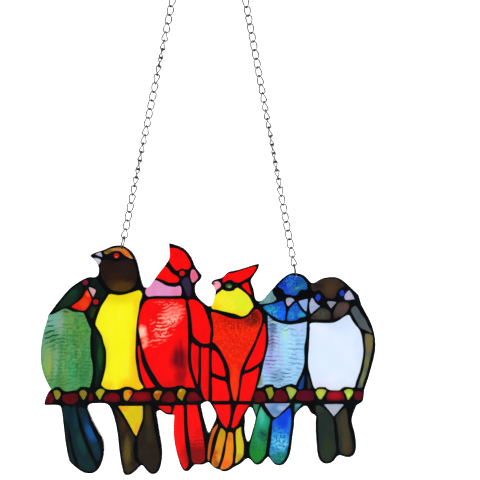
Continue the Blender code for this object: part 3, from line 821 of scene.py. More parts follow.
    PrintedGlass("smoke_glass", "#22282c", MOTTLED, "#2e3434", 0.6, 4.0, (), 0.15),
    PrintedGlass("garnet_perch_glass", "#640614", MOTTLED, "#46040c", 0.85, 4.0, (
        Patch(91, 2, 8, 4, "#a80a1e", 1.0),
        Patch(-48, 1.5, 8, 4, "#94020f", 0.9),
        Patch(-68, 1, 6, 3.5, "#7e000e", 0.8),
        Patch(-98, 0, 7, 4, "#50040a", 0.8),
        Patch(-28, 1, 5, 4, "#6e0608", 0.7),
        Patch(-10, 1.5, 4, 4, "#7c060e", 0.8),
        Patch(52, 2, 6, 4, "#58051a", 0.8),
        Patch(70, 2, 8, 5, "#560222", 0.8),
        Patch(108, 2, 4, 4, "#600a22", 0.8),
    ), 0.2, 1.0),
    PrintedGlass("perching_claw_glass", "#9aa024", MOTTLED, "#7e8018", 0.7, 2.0, (
        Patch(-108, 3, 6, 6, "#8a8220", 0.9),
        Patch(-89.5, 3, 6, 6, "#8a781c", 0.9),
        Patch(-77.5, 3.5, 5, 6, "#aaa818", 0.9),
        Patch(-57.5, 3, 7, 6, "#e09012", 1.0),
        Patch(-55.3, 4, 2.2, 3, "#d8340c", 0.9),
        Patch(-36, 2, 6, 6, "#b05806", 1.0),
        # Pale spot on the claw: a painted highlight, drawn as part of the print
        Patch(-36.8, 4.6, 2.4, 1.8, "#d8a02c", 0.8),
        Patch(-19, 3, 6, 7, "#b47e04", 1.0),
        # Pale spot on the claw: a painted highlight, drawn as part of the print
        Patch(-20, 5.6, 1.8, 1.4, "#dcb84c", 0.8),
        Patch(60, 4, 6, 7, "#a4be50", 1.0),
        Patch(81, 3, 6, 6, "#bac84a", 1.0),
        Patch(101, 3, 6, 6, "#acd43c", 1.0),
        # Pale spot on the claw: a painted highlight, drawn as part of the print
        Patch(101, 2, 1.8, 2, "#d8f090", 0.7),
    ), 0.35, 0.8),
)

# The picture's panes in the drawing's millimetres, laid one over another on a black ground.
# Each has the glass's name, the width of a black line around it where the line isn't part of the
# ground, and its outline. A star marks a sharp corner; the rest of an outline is smooth.
PANES = (
    # First bird: bent to the left, green
    ("rippled_green_glass", 0.0, "-115.3,59.5 -111,60.5 -107,62.5 -104,64 -101.5,64.3 -98.5,62.8 "
     "-96,62 -92,62 -90,61.5 -88.6,60 -87,56 -85.3,52 -84,48.8 -84.5,44 -84.6,40 -84.4,34 -84,29 "
     "-83.2,26 -82.8,22 -82.8,18 -83.4,14 -84.3,10 -85.3,8 -87,8.2 -91,8.4 -92.5,7.5 -94,6.3 "
     "-97,5.7 -101,5 -103.5,5.6 -105.5,7.2 -107,8.3 -110,8 -111,7 -113,6.2* -124,12 -126,35 "
     "-122,57*"),
    ("deep_green_glass", 0.0, "-110.5,63.2 -107,67.3 -103,72.2 -99,76.6 -95.5,79.8 -92,82 -90.5,82 "
     "-89.8,80 -89.8,77 -91.5,73.5 -94.5,70 -98.5,67.3 -103,65.6 -108,63.6"),
    ("deep_green_glass", 0.0, "-87,85 -83,85.6 -80,85.6 -78.3,82.8 -75.4,79.2 -73.4,76.3 -75,72.5 "
     "-78,67.5 -81,62 -83.2,57 -86,60.8 -88,63.5 -85.5,67 -85.5,73 -88,78"),
    ("deep_green_glass", 0.0, "-82,50 -82.2,44 -82.1,36 -81.6,30 -80.6,24 -80.4,18 -80.9,12 "
     "-81.5,8.5 -78.3,9 -77.3,12 -75.9,17 -75,22 -74.6,28 -74.7,34 -75.8,39 -77.5,44 -79.8,48.5"),
    ("flame_glass", 1.5, "-87,77.8 -85.5,75.5 -83.8,71.5 -84.3,69 -88,63.5 -92,63.3 -96,64.8 "
     "-97.8,66 -93,69.5 -90,72.5"),
    ("pearl_glass", 1.2, "-85.5,79.2 -83.5,79.3 -81,78 -80.7,76.5 -82.5,72.8*"),
    ("berry_glass", 1.6, "dot -80.5,69.3 1.9,1.9"),
    ("berry_glass", 1.6, "dot -88,83.2 1.9,1.9"),
    # Second bird: yellow breast, brown head
    ("pearl_glass", 0.0, "-81,103.5* -78,104.8 -76.7,104.3 -76,101.8 -78,102.2"),
    ("pearl_glass", 0.0, "-84.5,100.9* -80,100.7 -77.5,99.8 -77,98.5 -79,95.8 -83,96.5"),
    ("amber_brow_glass", 0.0, "-74.5,105.3 -70,107.3 -65,108.2 -61,108 -58,106 -55,102 -54,100.2* "
     "-56.5,100.9 -59.6,102.6 -62.5,105.2 -65,106 -68,105.6 -72,103.8 -73.8,103.9"),
    ("umber_head_glass", 0.0, "-76.5,98.5 -77.2,94 -76.8,89 -75,84.5 -72,80.3 -69,78 -65,77 "
     "-60,76.8 -55.5,78.5 -52,82 -51,88 -51.8,94 -54.5,98.5 -60,100 -66,98.5 -71,99.5"),
    ("berry_glass", 1.6, "dot -65.7,102.5 1.9,1.9"),
    ("yellow_breast_glass", 0.0, "-70.5,74.7 -64,74 -58,75 -52,77 -49.5,77.5 -47.7,76 -47.5,73 "
     "-49,69 -50,62 -51,56 -51.7,48 -52,40 -52.2,30 -51.5,24 -50.5,18 -49.3,13 -47,9 -46.5,7.8 "
     "-48,6.8 -50,6.1 -52.5,6.8 -55,8 -58,8.5 -61,8 -64,6.7 -68,6.3 -72,6.6 -74,7.2 -75.5,8.5 "
     "-76.5,10 -75.6,13 -74.3,18 -73.3,23 -73,28 -73,33 -73.5,36 -74.8,40 -76,44.5 -77.5,47.5 "
     "-80,51.5 -80.7,54 -79,60 -76.5,66 -73,71.5"),
    # Third bird: red with a crest, in profile
    ("scarlet_glass", 0.0, "-29.5,108* -26,108 -22,107.5 -17.5,105 -14.5,101 -12.5,96 -13.5,93.2 "
     "-16,92.6 -19,93.3 -22.5,91.7 -26,95.5 -28.5,99.5* -30,102"),
    ("scarlet_glass", 0.0, "-32,93.8 -30,94.6 -26,90 -21.5,87 -21,84.5 -22.5,83.3 -28,83.3 "
     "-33,85.3 -38.3,86.9* -35,91"),
    ("berry_glass", 1.5, "dot -18.5,89.8 1.9,1.9"),
    ("rose_glass", 0.0, "-41,84.9 -36,84.3 -30,81 -24,80 -20,80.7 -19,77 -19.5,73.8* -28,73.6 "
     "-38,73.6 -43,73.2 -45,76 -44,79.7 -44,82"),
    ("plum_glass", 0.0, "-19,84 -15,87 -13,84 -12,78 -13,73.5 -15,74 -17,79"),
    ("rose_glass", 0.0, "-11.5,92.3 -9.5,92 -7.2,87.5 -8,85.5 -11,83.2 -12.5,87 -12.3,90.5"),
    ("scarlet_glass", 0.0, "-46,68 -43.5,70.5 -38,71.3 -25,71.2 -17,71 -16,66 -15,60 -14.5,50 "
     "-14.3,40 -14.5,30 -14,22 -12.5,17 -10.5,11 -9.3,7.5* -13,8 -16,8 -18,9.3 -22,9.3 -24,8.5 "
     "-30,8 -33,9 -35.5,12 -38,16 -41,21 -43.5,26 -45.5,32 -47.5,38 -49,45 -49.8,52 -49,60 "
     "-47.5,65"),
    ("scarlet_glass", 0.0, "-50,38 -49,36 -48,28 -46,22 -43,16 -40,11 -38,8.6* -40,8 -44,7.5 -45,9 "
     "-47,14 -48.5,20 -49.5,28 -50.3,34"),
    ("scarlet_glass", 0.0, "-14,69.5 -12,71 -8,70 -4,66.5 -2,62.5 0,57 1.8,50 1.5,46 1.2,40.5 "
     "0,39.5 -4,39.5 -6.5,41 -9.5,43.8 -11,47 -11.5,54 -12.5,62"),
    ("scarlet_glass", 0.0, "-11.5,39.5 -9,38 -7,37 -6.8,34 -7,26 -7,20 -7.2,16 -7.5,10.5 -9,14.5 "
     "-10.5,19 -11.5,24 -12,30"),
    ("scarlet_glass", 0.0, "-4.8,35.5 -3,36 0.3,36 0.5,34 0.5,20 0.3,8 0.2,0 -0.5,-1.8* -2,-0.5 "
     "-4,4 -5,9 -4.8,20"),
    # Fourth bird: red, yellow face
    ("rose_glass", 0.0, "3.2,82 4.6,83.6 6.6,84.1 8.3,83.3 9.3,81.3 8.6,79.7 6.5,78.1 5.2,76.6 "
     "3.6,78 2.8,80"),
    ("scarlet_glass", 0.0, "10.6,83.6 11.3,86.8 14.3,89.7 18,90 24,92 30,93.8 34,94.7 34.3,93 "
     "32,89.5 30,87.5 26,85 22,83.2 19,83.8 16.5,85.2 14,84.8 12,83.5"),
    ("scarlet_glass", 0.0, "24.5,81 28,83.3 29,82 29.5,80 30.5,77 31,74.7 29.5,75.5 27,78"),
    ("leaf_eye_glass", 0.0, "dot 15,80.7 2.3,1.6"),
    ("lemon_face_glass", 0.0, "10.5,78 9,77 6.5,75 4.6,73 2.6,67.2 2.6,65.3 3.5,64.2 6,63.8 "
     "10,62.8 15,61.7 20,60.5 22.5,59.5 24.5,58.9 28,60.2 30,62.5 31.5,64.5 32.5,66 31.5,69 30,72 "
     "28,74.5 25,77 22,79 20.8,79.3 19.5,78.5 18.5,77.5 16,76.9 13,77"),
    ("hammered_orange_glass", 0.0, "2.5,61.7 3.5,55 4,50 4,45 3.2,41 5,39.5 8,36 11,31 13.5,26 "
     "15,22 15.8,18 16,12 16.5,8 17.5,3 18.5,-1 19.5,-1.8* 20,-1.8* 21,2 22,8 22.5,14 23.5,20 "
     "25.5,25 28,30 31,36 34,42 35.5,46 37,50 38.3,54 38.8,57 38.5,60 37,62.5 35,64 33,63 30,60 "
     "28,58.2 24,57 20,56.8 15,58 8,60.5"),
    ("scarlet_glass", 0.0, "3,34 4,34.5 6,33.3 8,30.5 10.3,26 12,20 12.5,16.5 11.5,15.7 8,16.5 "
     "5,17.8 3.2,19 2.8,26"),
    ("scarlet_glass", 0.0, "3,14.8 6,14 9.5,12.8 12.5,12 13.5,9 14.8,4 15.3,0 15,-1.6* 3,-1.8* "
     "3.2,6"),
    ("scarlet_glass", 0.0, "40.5,54 41.3,50 41.5,44 41,38 40,32 38.5,27.5 36,25 33,23 30,21.3 "
     "27,20.3 26.8,21.5 28,24.5 30,29 32,33 34,37.5 36,42.5 38,47 39.3,51"),
    ("scarlet_glass", 0.0, "25,16 26,17.2 29,18.3 32,19.5 35,21.5 36.3,22.3 36.4,20 35.5,15 "
     "34.3,10 33,5 31.5,1 30.5,-1.8* 22.5,-1.8* 23,3 23.8,9 24.5,14"),
    # Fifth bird: blue, facing the front
    ("royal_blue_glass", 0.0, "50,80.5 52,82.5 55,85.5 58,88 60,88.6 64,88 67,87 69.5,84.5 71,82 "
     "71.2,79 70,78 68,78.2 66,77.5 64.5,75.5 63.5,74.3 62,73.8 58,74.7 56,74.8 55,75.5 54,78 "
     "52,79.2"),
    ("pale_teal_glass", 0.0, "36.5,68.2* 40,71 43,74 45.8,77 47,74.5 48.8,72 48.5,70.5 46,69 "
     "42,68.2 38,67.8"),
    ("pearl_glass", 0.0, "56,70.7 57,72 60,72 62,70.3 60.5,69 59,67.3 57.5,66.3 56.5,68"),
    ("pearl_glass", 0.0, "65,69.8* 71,71.3 71.5,70 71,65 70.8,63 70,62.8 68,65 66,68"),
    ("royal_blue_glass", 0.0, "39.5,65.5* 42,66.8 48,68 52,69.5 54,69.5 55,67 56,64 55.5,60 "
     "55,56.3 53,56 50,57 46,59.5 42,62.5"),
    ("royal_blue_glass", 0.0, "63,68.8 64.5,67 66,64.5 68,62 70.2,60 70,58.8 66,58 64,56.5 60,55.7 "
     "57,56 57,59 58,63 60,66"),
    ("rippled_sky_glass", 0.0, "43,59.5* 43.2,50 43.6,44 43.2,38 42.3,34 41,29 40,25 39,20 37.5,14 "
     "36,9.5 35.7,8 36.5,7.7 38.5,8 40,9 41.5,10 46.5,10 47.5,8.5 50.5,7.6 52.5,8.2 55,9.2 57.5,10 "
     "60,10.5 63,9.8 64,12 66,16 67.5,19.5 68.7,23.5 69.2,28 69,34 69.2,38 70,42 70.5,46 71,55* "
     "65,53.6 58,53 52,54 47,56"),
    ("cobalt_feather_glass", 0.0, "69.2,17* 69,13 68.5,9 67.5,7 65.5,6.8 65,8 66.5,12 68,15"),
    ("smoke_glass", 0.0, "71.5,16* 71.5,9 71.8,7 73.5,7 74,9 73,13 72,16"),
    # Sixth bird: brown head, white belly
    ("slate_brown_glass", 0.0, "74,82 76.5,81.8 78.5,83 82,85.5 88,86.2 92,85.8 95,84 98,81.5 "
     "97,80 94,78.5 92.5,76 91.5,73 90,71.8 86,72 84,73.5 82,76 80,78 76,77 74,80"),
    ("pearl_glass", 0.0, "73.6,70 74.5,72 75.5,71.5 77,69 79,67 80.3,66.3 79,65 76,62.5 74,61 "
     "73,64 72.9,68"),
    ("pearl_glass", 0.0, "101,77.5* 102,77 104,74 105.2,71.3* 102,70.8 99,70.8 98,72.5 98.5,74.5 "
     "100,76.5"),
    ("bead_blue_glass", 0.0, "77,72 78.5,74.7 80.5,74 80.8,72 79,69.7 77.8,71"),
    ("bead_blue_glass", 0.0, "dot 96.3,75.5 1.7,2.1"),
    ("pearl_glass", 0.0, "85.5,69* 87,69.7 90,69.5 92,69* 90.5,67 88.3,64.8* 87,66.5"),
    ("slate_brown_glass", 0.0, "73.8,57 75,59.5 78,62 80,64 82,64.8 85,64 87.5,62 88,59 87.5,57 "
     "85,56.5 78,56.8"),
    ("slate_brown_glass", 0.0, "90,60 90.5,62.5 92,66 94,68.5 98,69.2 101,68.5 101.5,66 99.5,62 "
     "97,59.5 94,58.3 91,57.5"),
    ("opal_white_glass", 0.0, "74,54 84,54 90,54.3 94,56 98,58.7 100.5,59.8 102,59 103.5,56 "
     "106,52.5 108.5,49.5 110.3,45 111,40 111.5,35 111.2,30 110.3,25 109.2,20 107.8,16 106.3,12 "
     "105,8 101,8.2 98,8.2 96,7.2 94.5,6 92,5.8 88,6 85.5,7 84.5,8 82,8.2 79,8 77,7 75.5,9.5 "
     "74.5,13 73.5,17 72.5,20.5 72,24 72,30 72.5,36 72.9,44 73.3,50"),
    ("olive_wing_glass", 0.0, "104,65.5 106,66.3 108,64 110,60.5 113,56.5 115,52 117.5,48 117,47 "
     "115,48.2 112,49.5 109,51.5 107.5,54 105,58.5 103,62 103,64"),
    ("olive_wing_glass", 0.0, "112.8,46 115,46.3 118,45 118.4,41 118,36 117,31 115.8,26 114.5,20 "
     "112.8,15 111.5,11 110.5,8 107.5,7.8 108.3,11 110,16 111.5,21 112.3,26 113,31 113.2,36 "
     "112.8,41"),
    # Tails of the first and second birds
    ("night_tail_glass", 0.0, "-104,-6 -99,-6 -98,-12 -99.5,-18 -101,-16 -103,-16"),
    ("night_tail_glass", 0.0, "-102.6,-17 -101.8,-16.5 -100.5,-24 -98.5,-36 -96.3,-44 -95.5,-47 "
     "-98,-45 -99.2,-42 -100.2,-36 -101.5,-28"),
    ("night_tail_glass", 0.0, "-101,-16 -98,-7 -95.3,-6 -93,-18 -90,-28 -86,-38 -82,-46 "
     "-80.5,-50.2 -83,-52 -86,-52.2 -89,-51.4 -92,-49.6 -94,-44 -96.5,-36 -98.5,-26"),
    ("night_tail_glass", 0.0, "-93,-7 -87.5,-8 -85,-18 -81,-27 -78,-33 -77,-40 -78.3,-44.5 "
     "-80.3,-44 -84,-36 -88,-26 -91,-16"),
    ("yellow_breast_glass", 0.0, "-64.2,-5.5* -47,-5.5* -47,-14 -48.5,-19 -50,-23 -51.5,-26.8* "
     "-53,-25 -56,-19.5 -60,-12.5 -63.5,-7"),
    ("walnut_tail_glass", 0.0, "-66.5,-7 -65,-9 -62,-13 -57.5,-20.5 -53,-27.5 -53.7,-36 -52.8,-44 "
     "-49.5,-47.5 -52,-50 -56,-53.3 -59,-53.2 -60.5,-48 -62,-38 -63,-28 -65,-16"),
    ("walnut_tail_glass", 0.0, "-45.3,-5.5 -41.5,-5.5 -40.2,-12 -38.8,-20 -37.3,-28 -36,-34 "
     "-34.8,-40 -35.2,-46 -37,-51 -40,-52.8 -43,-50.8 -45.5,-47.8 -49.5,-44 -50.3,-36 -50,-28 "
     "-47,-20.5 -45.3,-14"),
    # Tails of the third and fourth birds
    ("scarlet_glass", 0.0, "-35.5,-6* -34,-5.5 -27.5,-5.5* -26.5,-7 -26.8,-9.5 -28,-10.3 "
     "-30.5,-9.8 -33,-8"),
    ("scarlet_glass", 0.0, "-23.5,-5* -25.5,-12 -26,-24 -25.5,-32 -22.6,-38 -20.5,-44 -18.5,-48.5 "
     "-17,-50.5 -16,-50.6 -14.5,-48 -14.2,-44 -15.5,-38 -16.5,-32 -17,-24 -17.3,-16 -17.5,-8 "
     "-18,-5*"),
    ("scarlet_glass", 0.0, "-15,-4.7* -14.8,-12 -14.5,-20 -13.5,-28 -12.5,-34 -12,-40 -11.5,-44 "
     "-10,-46.3 -8,-46.6 -5,-46.3 -3,-45 -2.5,-44 -2.3,-40 -2.8,-33 -3.8,-26 -5,-19 -6.5,-12 "
     "-8,-4.9*"),
    ("scarlet_glass", 0.0, "4,-4.5* 16,-4.5* 16,-12 15.3,-16 14,-20.5 13,-21 11,-19 8.5,-15 7,-11 "
     "5.5,-7.5"),
    ("scarlet_glass", 0.0, "21.5,-4.5* 29.4,-4.7* 27,-8 24.5,-12 22.5,-16 21,-19 18.5,-21 17,-20.8 "
     "17.5,-18 18.5,-13 19.5,-9 20.5,-6"),
    ("feather_rust_glass", 0.0, "7,-18.3* 7,-20 6.2,-22 4.5,-26 3.2,-30 2.4,-34 1.8,-38 1.3,-42 "
     "0.8,-44.8 -0.2,-43 0,-38 0.5,-33 1.7,-28 3.2,-23 5.3,-20"),
    ("feather_gold_glass", 0.0, "9.7,-21.5 12.3,-24 12.5,-27 11.8,-31 10.8,-35 9.8,-40 8.8,-44 "
     "7.5,-48 6,-49.3 4,-48.7 2.8,-47 3,-43 4.5,-38 6,-32 7.2,-27 8.5,-23.5"),
    ("feather_orange_glass", 0.0, "14.5,-25 16,-24.3 17.6,-25.2 18,-29 18.3,-36 17.8,-41 17.5,-46 "
     "15.5,-49 13,-50.5 10.5,-51 9,-50.3 10,-47 11.5,-42.5 12.6,-37 13.3,-31 14.3,-27"),
    ("feather_yellow_glass", 0.0, "20.3,-23 22,-21.5 23.7,-20.5* 23.8,-24 24.6,-28 25.6,-33 "
     "25.5,-38 25,-41.5 22.5,-44.5 20,-46.5 19.8,-44 20.5,-38 20.2,-31 20,-26"),
    # Tails of the fifth and sixth birds
    ("emerald_feather_glass", 0.0, "32.5,-4.2* 36.8,-4.3* 36,-7 35,-10.5 34.5,-11.3 33.7,-9 "
     "32.8,-6.5"),
    ("pearl_glass", 0.0, "41,-4.2* 42.5,-3.7 59,-3.6* 58,-5 55.5,-7.5 53,-10 51,-12 49,-13.3 "
     "47.5,-13.3 46,-12 43.5,-8.5 41.5,-5.5"),
    ("emerald_feather_glass", 0.0, "38,-6 39,-7.5 41,-10.5 43,-13 44.5,-14.7 44.5,-17 43.5,-21 "
     "43,-26 42.3,-31 41.7,-36 41.3,-39 40,-42 38,-44.5 36,-46 34.5,-46.3 33,-45 31,-42.5 30,-39.5 "
     "30,-36.5 30.5,-33 31.5,-29 32.5,-25 33.5,-21 34.5,-17 35.5,-13 36.7,-9"),
    ("cobalt_feather_glass", 0.0, "58.5,-7 59.3,-8 59.5,-10 59.8,-14 59.7,-18 59.2,-22 58.5,-27 "
     "58,-32 57.2,-36 56.5,-40 55,-43.5 53,-46 51,-46.8 49,-46.5 47,-45.3 45.3,-43 44.3,-40.5 "
     "44.2,-37.5 45,-33 45.5,-28 46,-23 46.2,-19 46.5,-16.5 48,-15 50.5,-13.5 52.5,-12 55,-10 "
     "57,-8"),
    ("emerald_feather_glass", 0.0, "62.5,-3.8* 67.5,-3.8* 66.5,-5 65,-7 63,-9.5 62.3,-9.8 62.2,-7"),
    ("slate_tail_glass", 0.0, "77.5,-5.5 80,-5.3 82.5,-6.5 85,-8.5 87.5,-11.5 89.3,-13.5 90,-16 "
     "90.5,-20 91,-28 92,-36 91.5,-39 90,-42 88,-44.5 85.5,-45.3 83,-44.5 81,-41 80,-36 79.5,-28 "
     "79,-20 79,-13 77.5,-9"),
    ("pearl_glass", 0.0, "84,-5.2* 84.5,-4.3 97,-4.2* 97,-5.2 95,-7.5 92.5,-10.5 90.7,-12.3 "
     "90,-12.5 88.5,-10.5 86,-7.5"),
    ("slate_tail_glass", 0.0, "92,-13 95,-10 97.5,-7.5 99,-7.5 100,-11 100.3,-15 101,-20 102.5,-26 "
     "103.5,-31 104,-36 103,-39 100.5,-40.5 97,-40 95,-38.5 94,-34 93.8,-28 93,-21 92,-16"),
    # The perch
    ("garnet_perch_glass", 0.0, "-115.5,3 -112,3.5 -111,1 -111.5,-2.5 -116,-3.5"),
    ("garnet_perch_glass", 0.0, "-104,2 -96,3.5 -93.5,1 -94,-2 -98,-4 -103.5,-2.5"),
    ("garnet_perch_glass", 0.0, "-85,3 -83.5,3.5 -82.5,0 -83,-1.5 -85.5,-1.5"),
    ("garnet_perch_glass", 0.0, "-75,0 -72,3.3 -67,3.8 -64,2 -63.5,-1 -66,-2.5 -73,-2"),
    ("garnet_perch_glass", 0.0, "-56,-2 -54,1 -52.5,4 -42.5,4.3 -41.5,2 -41.7,-1.5"),
    ("garnet_perch_glass", 0.0, "-33,0 -30,4 -27,5 -24,2 -23.5,-1 -25,-2.5 -32,-2.5"),
    ("garnet_perch_glass", 0.0, "-15,0 -13.5,3.5 -12,4.5 -9,4.2 -6.5,1.5 -5,-1.2 -14,-2"),
    ("garnet_perch_glass", 0.0, "34,4.5 36,5 39.5,4.8 41,2 41.5,-1 40,-2.3 34,-2.5 33.5,1"),
    ("garnet_perch_glass", 0.0, "47.5,3 48.5,5 51,6 54,5.5 56.5,2 57,-0.5 55,-2 48.5,-2 47,0"),
    ("garnet_perch_glass", 0.0, "63.5,1 64.5,4 67,5.5 71,5.5 75,5 76,2 75.5,-1 72,-1.8 66,-1.5 "
     "63.5,-0.5"),
    ("garnet_perch_glass", 0.0, "85.3,0 86,3.5 88,5 92,5.2 95.5,5 97,3 98,0 96.5,-1.3 87,-1.5"),
    ("garnet_perch_glass", 0.0, "105,3 106,5 108.5,5.2 110.7,4 110.8,1 109.5,-0.8 106.5,-1 105,1"),
    # The birds' claws on it
    ("perching_claw_glass", 1.2, "-110.8,4.5 -110,5.7 -108,5.8 -106.5,4.8 -105.7,3 -106.5,1 "
     "-108,-0.8 -109,-0.5 -110,1.5"),
    ("perching_claw_glass", 1.2, "-92.3,4 -91,5.6 -89,5.8 -87.5,4.8 -87,3.3 -88,1 -89.2,-0.9 "
     "-90.2,0 -91.5,2"),
    ("perching_claw_glass", 1.2, "-80.5,4 -79,6 -77,6.8 -75,6.2 -74.2,5.2 -75.5,3 -77,0 -77.8,-1 "
     "-78.7,0.5 -80,2.5"),
    ("perching_claw_glass", 1.2, "-60.5,4 -59.5,5.5 -57.5,6 -55,5.5 -54.5,3.5 -56,1 -57.5,-1.3 "
     "-59,-1.5 -60.3,0.5"),
    ("perching_claw_glass", 1.2, "-39,2 -38.5,4.2 -36.5,5.5 -34,5.2 -33,4.5 -34,2.5 -35,0 -36,-1.3 "
     "-37.5,-0.5"),
    ("perching_claw_glass", 1.2, "-22,3 -21,5.5 -19,7 -16.5,6 -16,4.5 -17.5,1.5 -18.5,-1.5 "
     "-20,-0.5 -21.5,1"),
    ("perching_claw_glass", 1.2, "41.5,6 42,7 45.8,8 46.3,6 47.1,4 46.8,2.5 45.5,0.3 44.2,-0.5 "
     "43.5,1.5 42.5,4"),
    ("perching_claw_glass", 1.2, "56.3,7 57.5,8.2 60,7.8 63,6.3 63.4,5 62,2.5 60.5,0.5 59.3,-0.5 "
     "58.5,1 57.5,4"),
    ("perching_claw_glass", 1.2, "77.5,4 78,5.5 79.5,6.6 83,6.5 84.8,5.5 84,3.5 82.5,1 81.5,-0.5 "
     "80,-0.5 79,1"),
    ("perching_claw_glass", 1.2, "97.8,5 99.5,6.3 101.5,6.7 103.5,6 104.2,4.5 103.5,2.5 102,0.5 "
     "100.8,-1 100,0 99.2,2.5"),
)


# Flat drawing
DOT_POINTS = 8
CURVE_STEPS = 4


def read_outline(text: str) -> tuple[list[Flat], list[bool]]:
    """The points of a written outline.

    Args:
        text: points as u,v pairs with a star on sharp ones, or "dot", a middle and two half sizes.

    Returns:
        The points, and for each whether it is a sharp corner.
    """
    words = text.split()
    if words[0] == "dot":
        (u, v), (a, b) = (tuple(float(x) for x in word.split(",")) for word in words[1:])
        turns = [2.0 * math.pi * k / DOT_POINTS for k in range(DOT_POINTS)]
        return [(u + a * math.cos(t), v + b * math.sin(t)) for t in turns], [False] * DOT_POINTS
    pairs = [tuple(float(x) for x in word.rstrip("*").split(",")) for word in words]
    return pairs, [word.endswith("*") for word in words]


def anticlockwise(loop: list[Flat]) -> list[Flat]:
    """The loop itself, or its points in reverse where it runs clockwise."""
    area = sum(a[0] * b[1] - b[0] * a[1] for a, b in zip(loop, loop[1:] + loop[:1]))
    return loop if area > 0.0 else loop[::-1]


def smooth_loop(text: str) -> list[Flat]:
    """A closed curve through a written outline's points, in the drawing's millimetres.

    Args:
        text: the outline.

    Returns:
        The curve's points, anticlockwise.
    """
    points, sharp = read_outline(text)
    given = [Vector(p) for p in points]
    count = len(given)
    curve = []
    for k in range(count):
        here, there = given[k], given[(k + 1) % count]
        before = here if sharp[k] else given[k - 1]
        after = there if sharp[(k + 1) % count] else given[(k + 2) % count]
        for step in range(CURVE_STEPS):
            t = step / CURVE_STEPS
            bend = 2.0 * here + (there - before) * t
            bend += (2.0 * before - 5.0 * here + 4.0 * there - after) * t * t
            bend += (3.0 * here - before - 3.0 * there + after) * t ** 3
            curve.append(0.5 * bend)
    return anticlockwise([(p.x, p.y) for p in curve])


def widened(loop: list[Flat], width: float) -> list[Flat]:
    """An anticlockwise loop moved outwards all round.

    Args:
        loop: the loop's points.
        width: how far they move.

    Returns:
        The wider loop.
    """
    points = [Vector(p) for p in loop]
    count = len(points)
    moved = []
    for k in range(count):
        along = (points[(k + 1) % count] - points[k - 1]).normalized()
        moved.append(points[k] + width * Vector((along.y, -along.x)))
    return [(p.x, p.y) for p in moved]


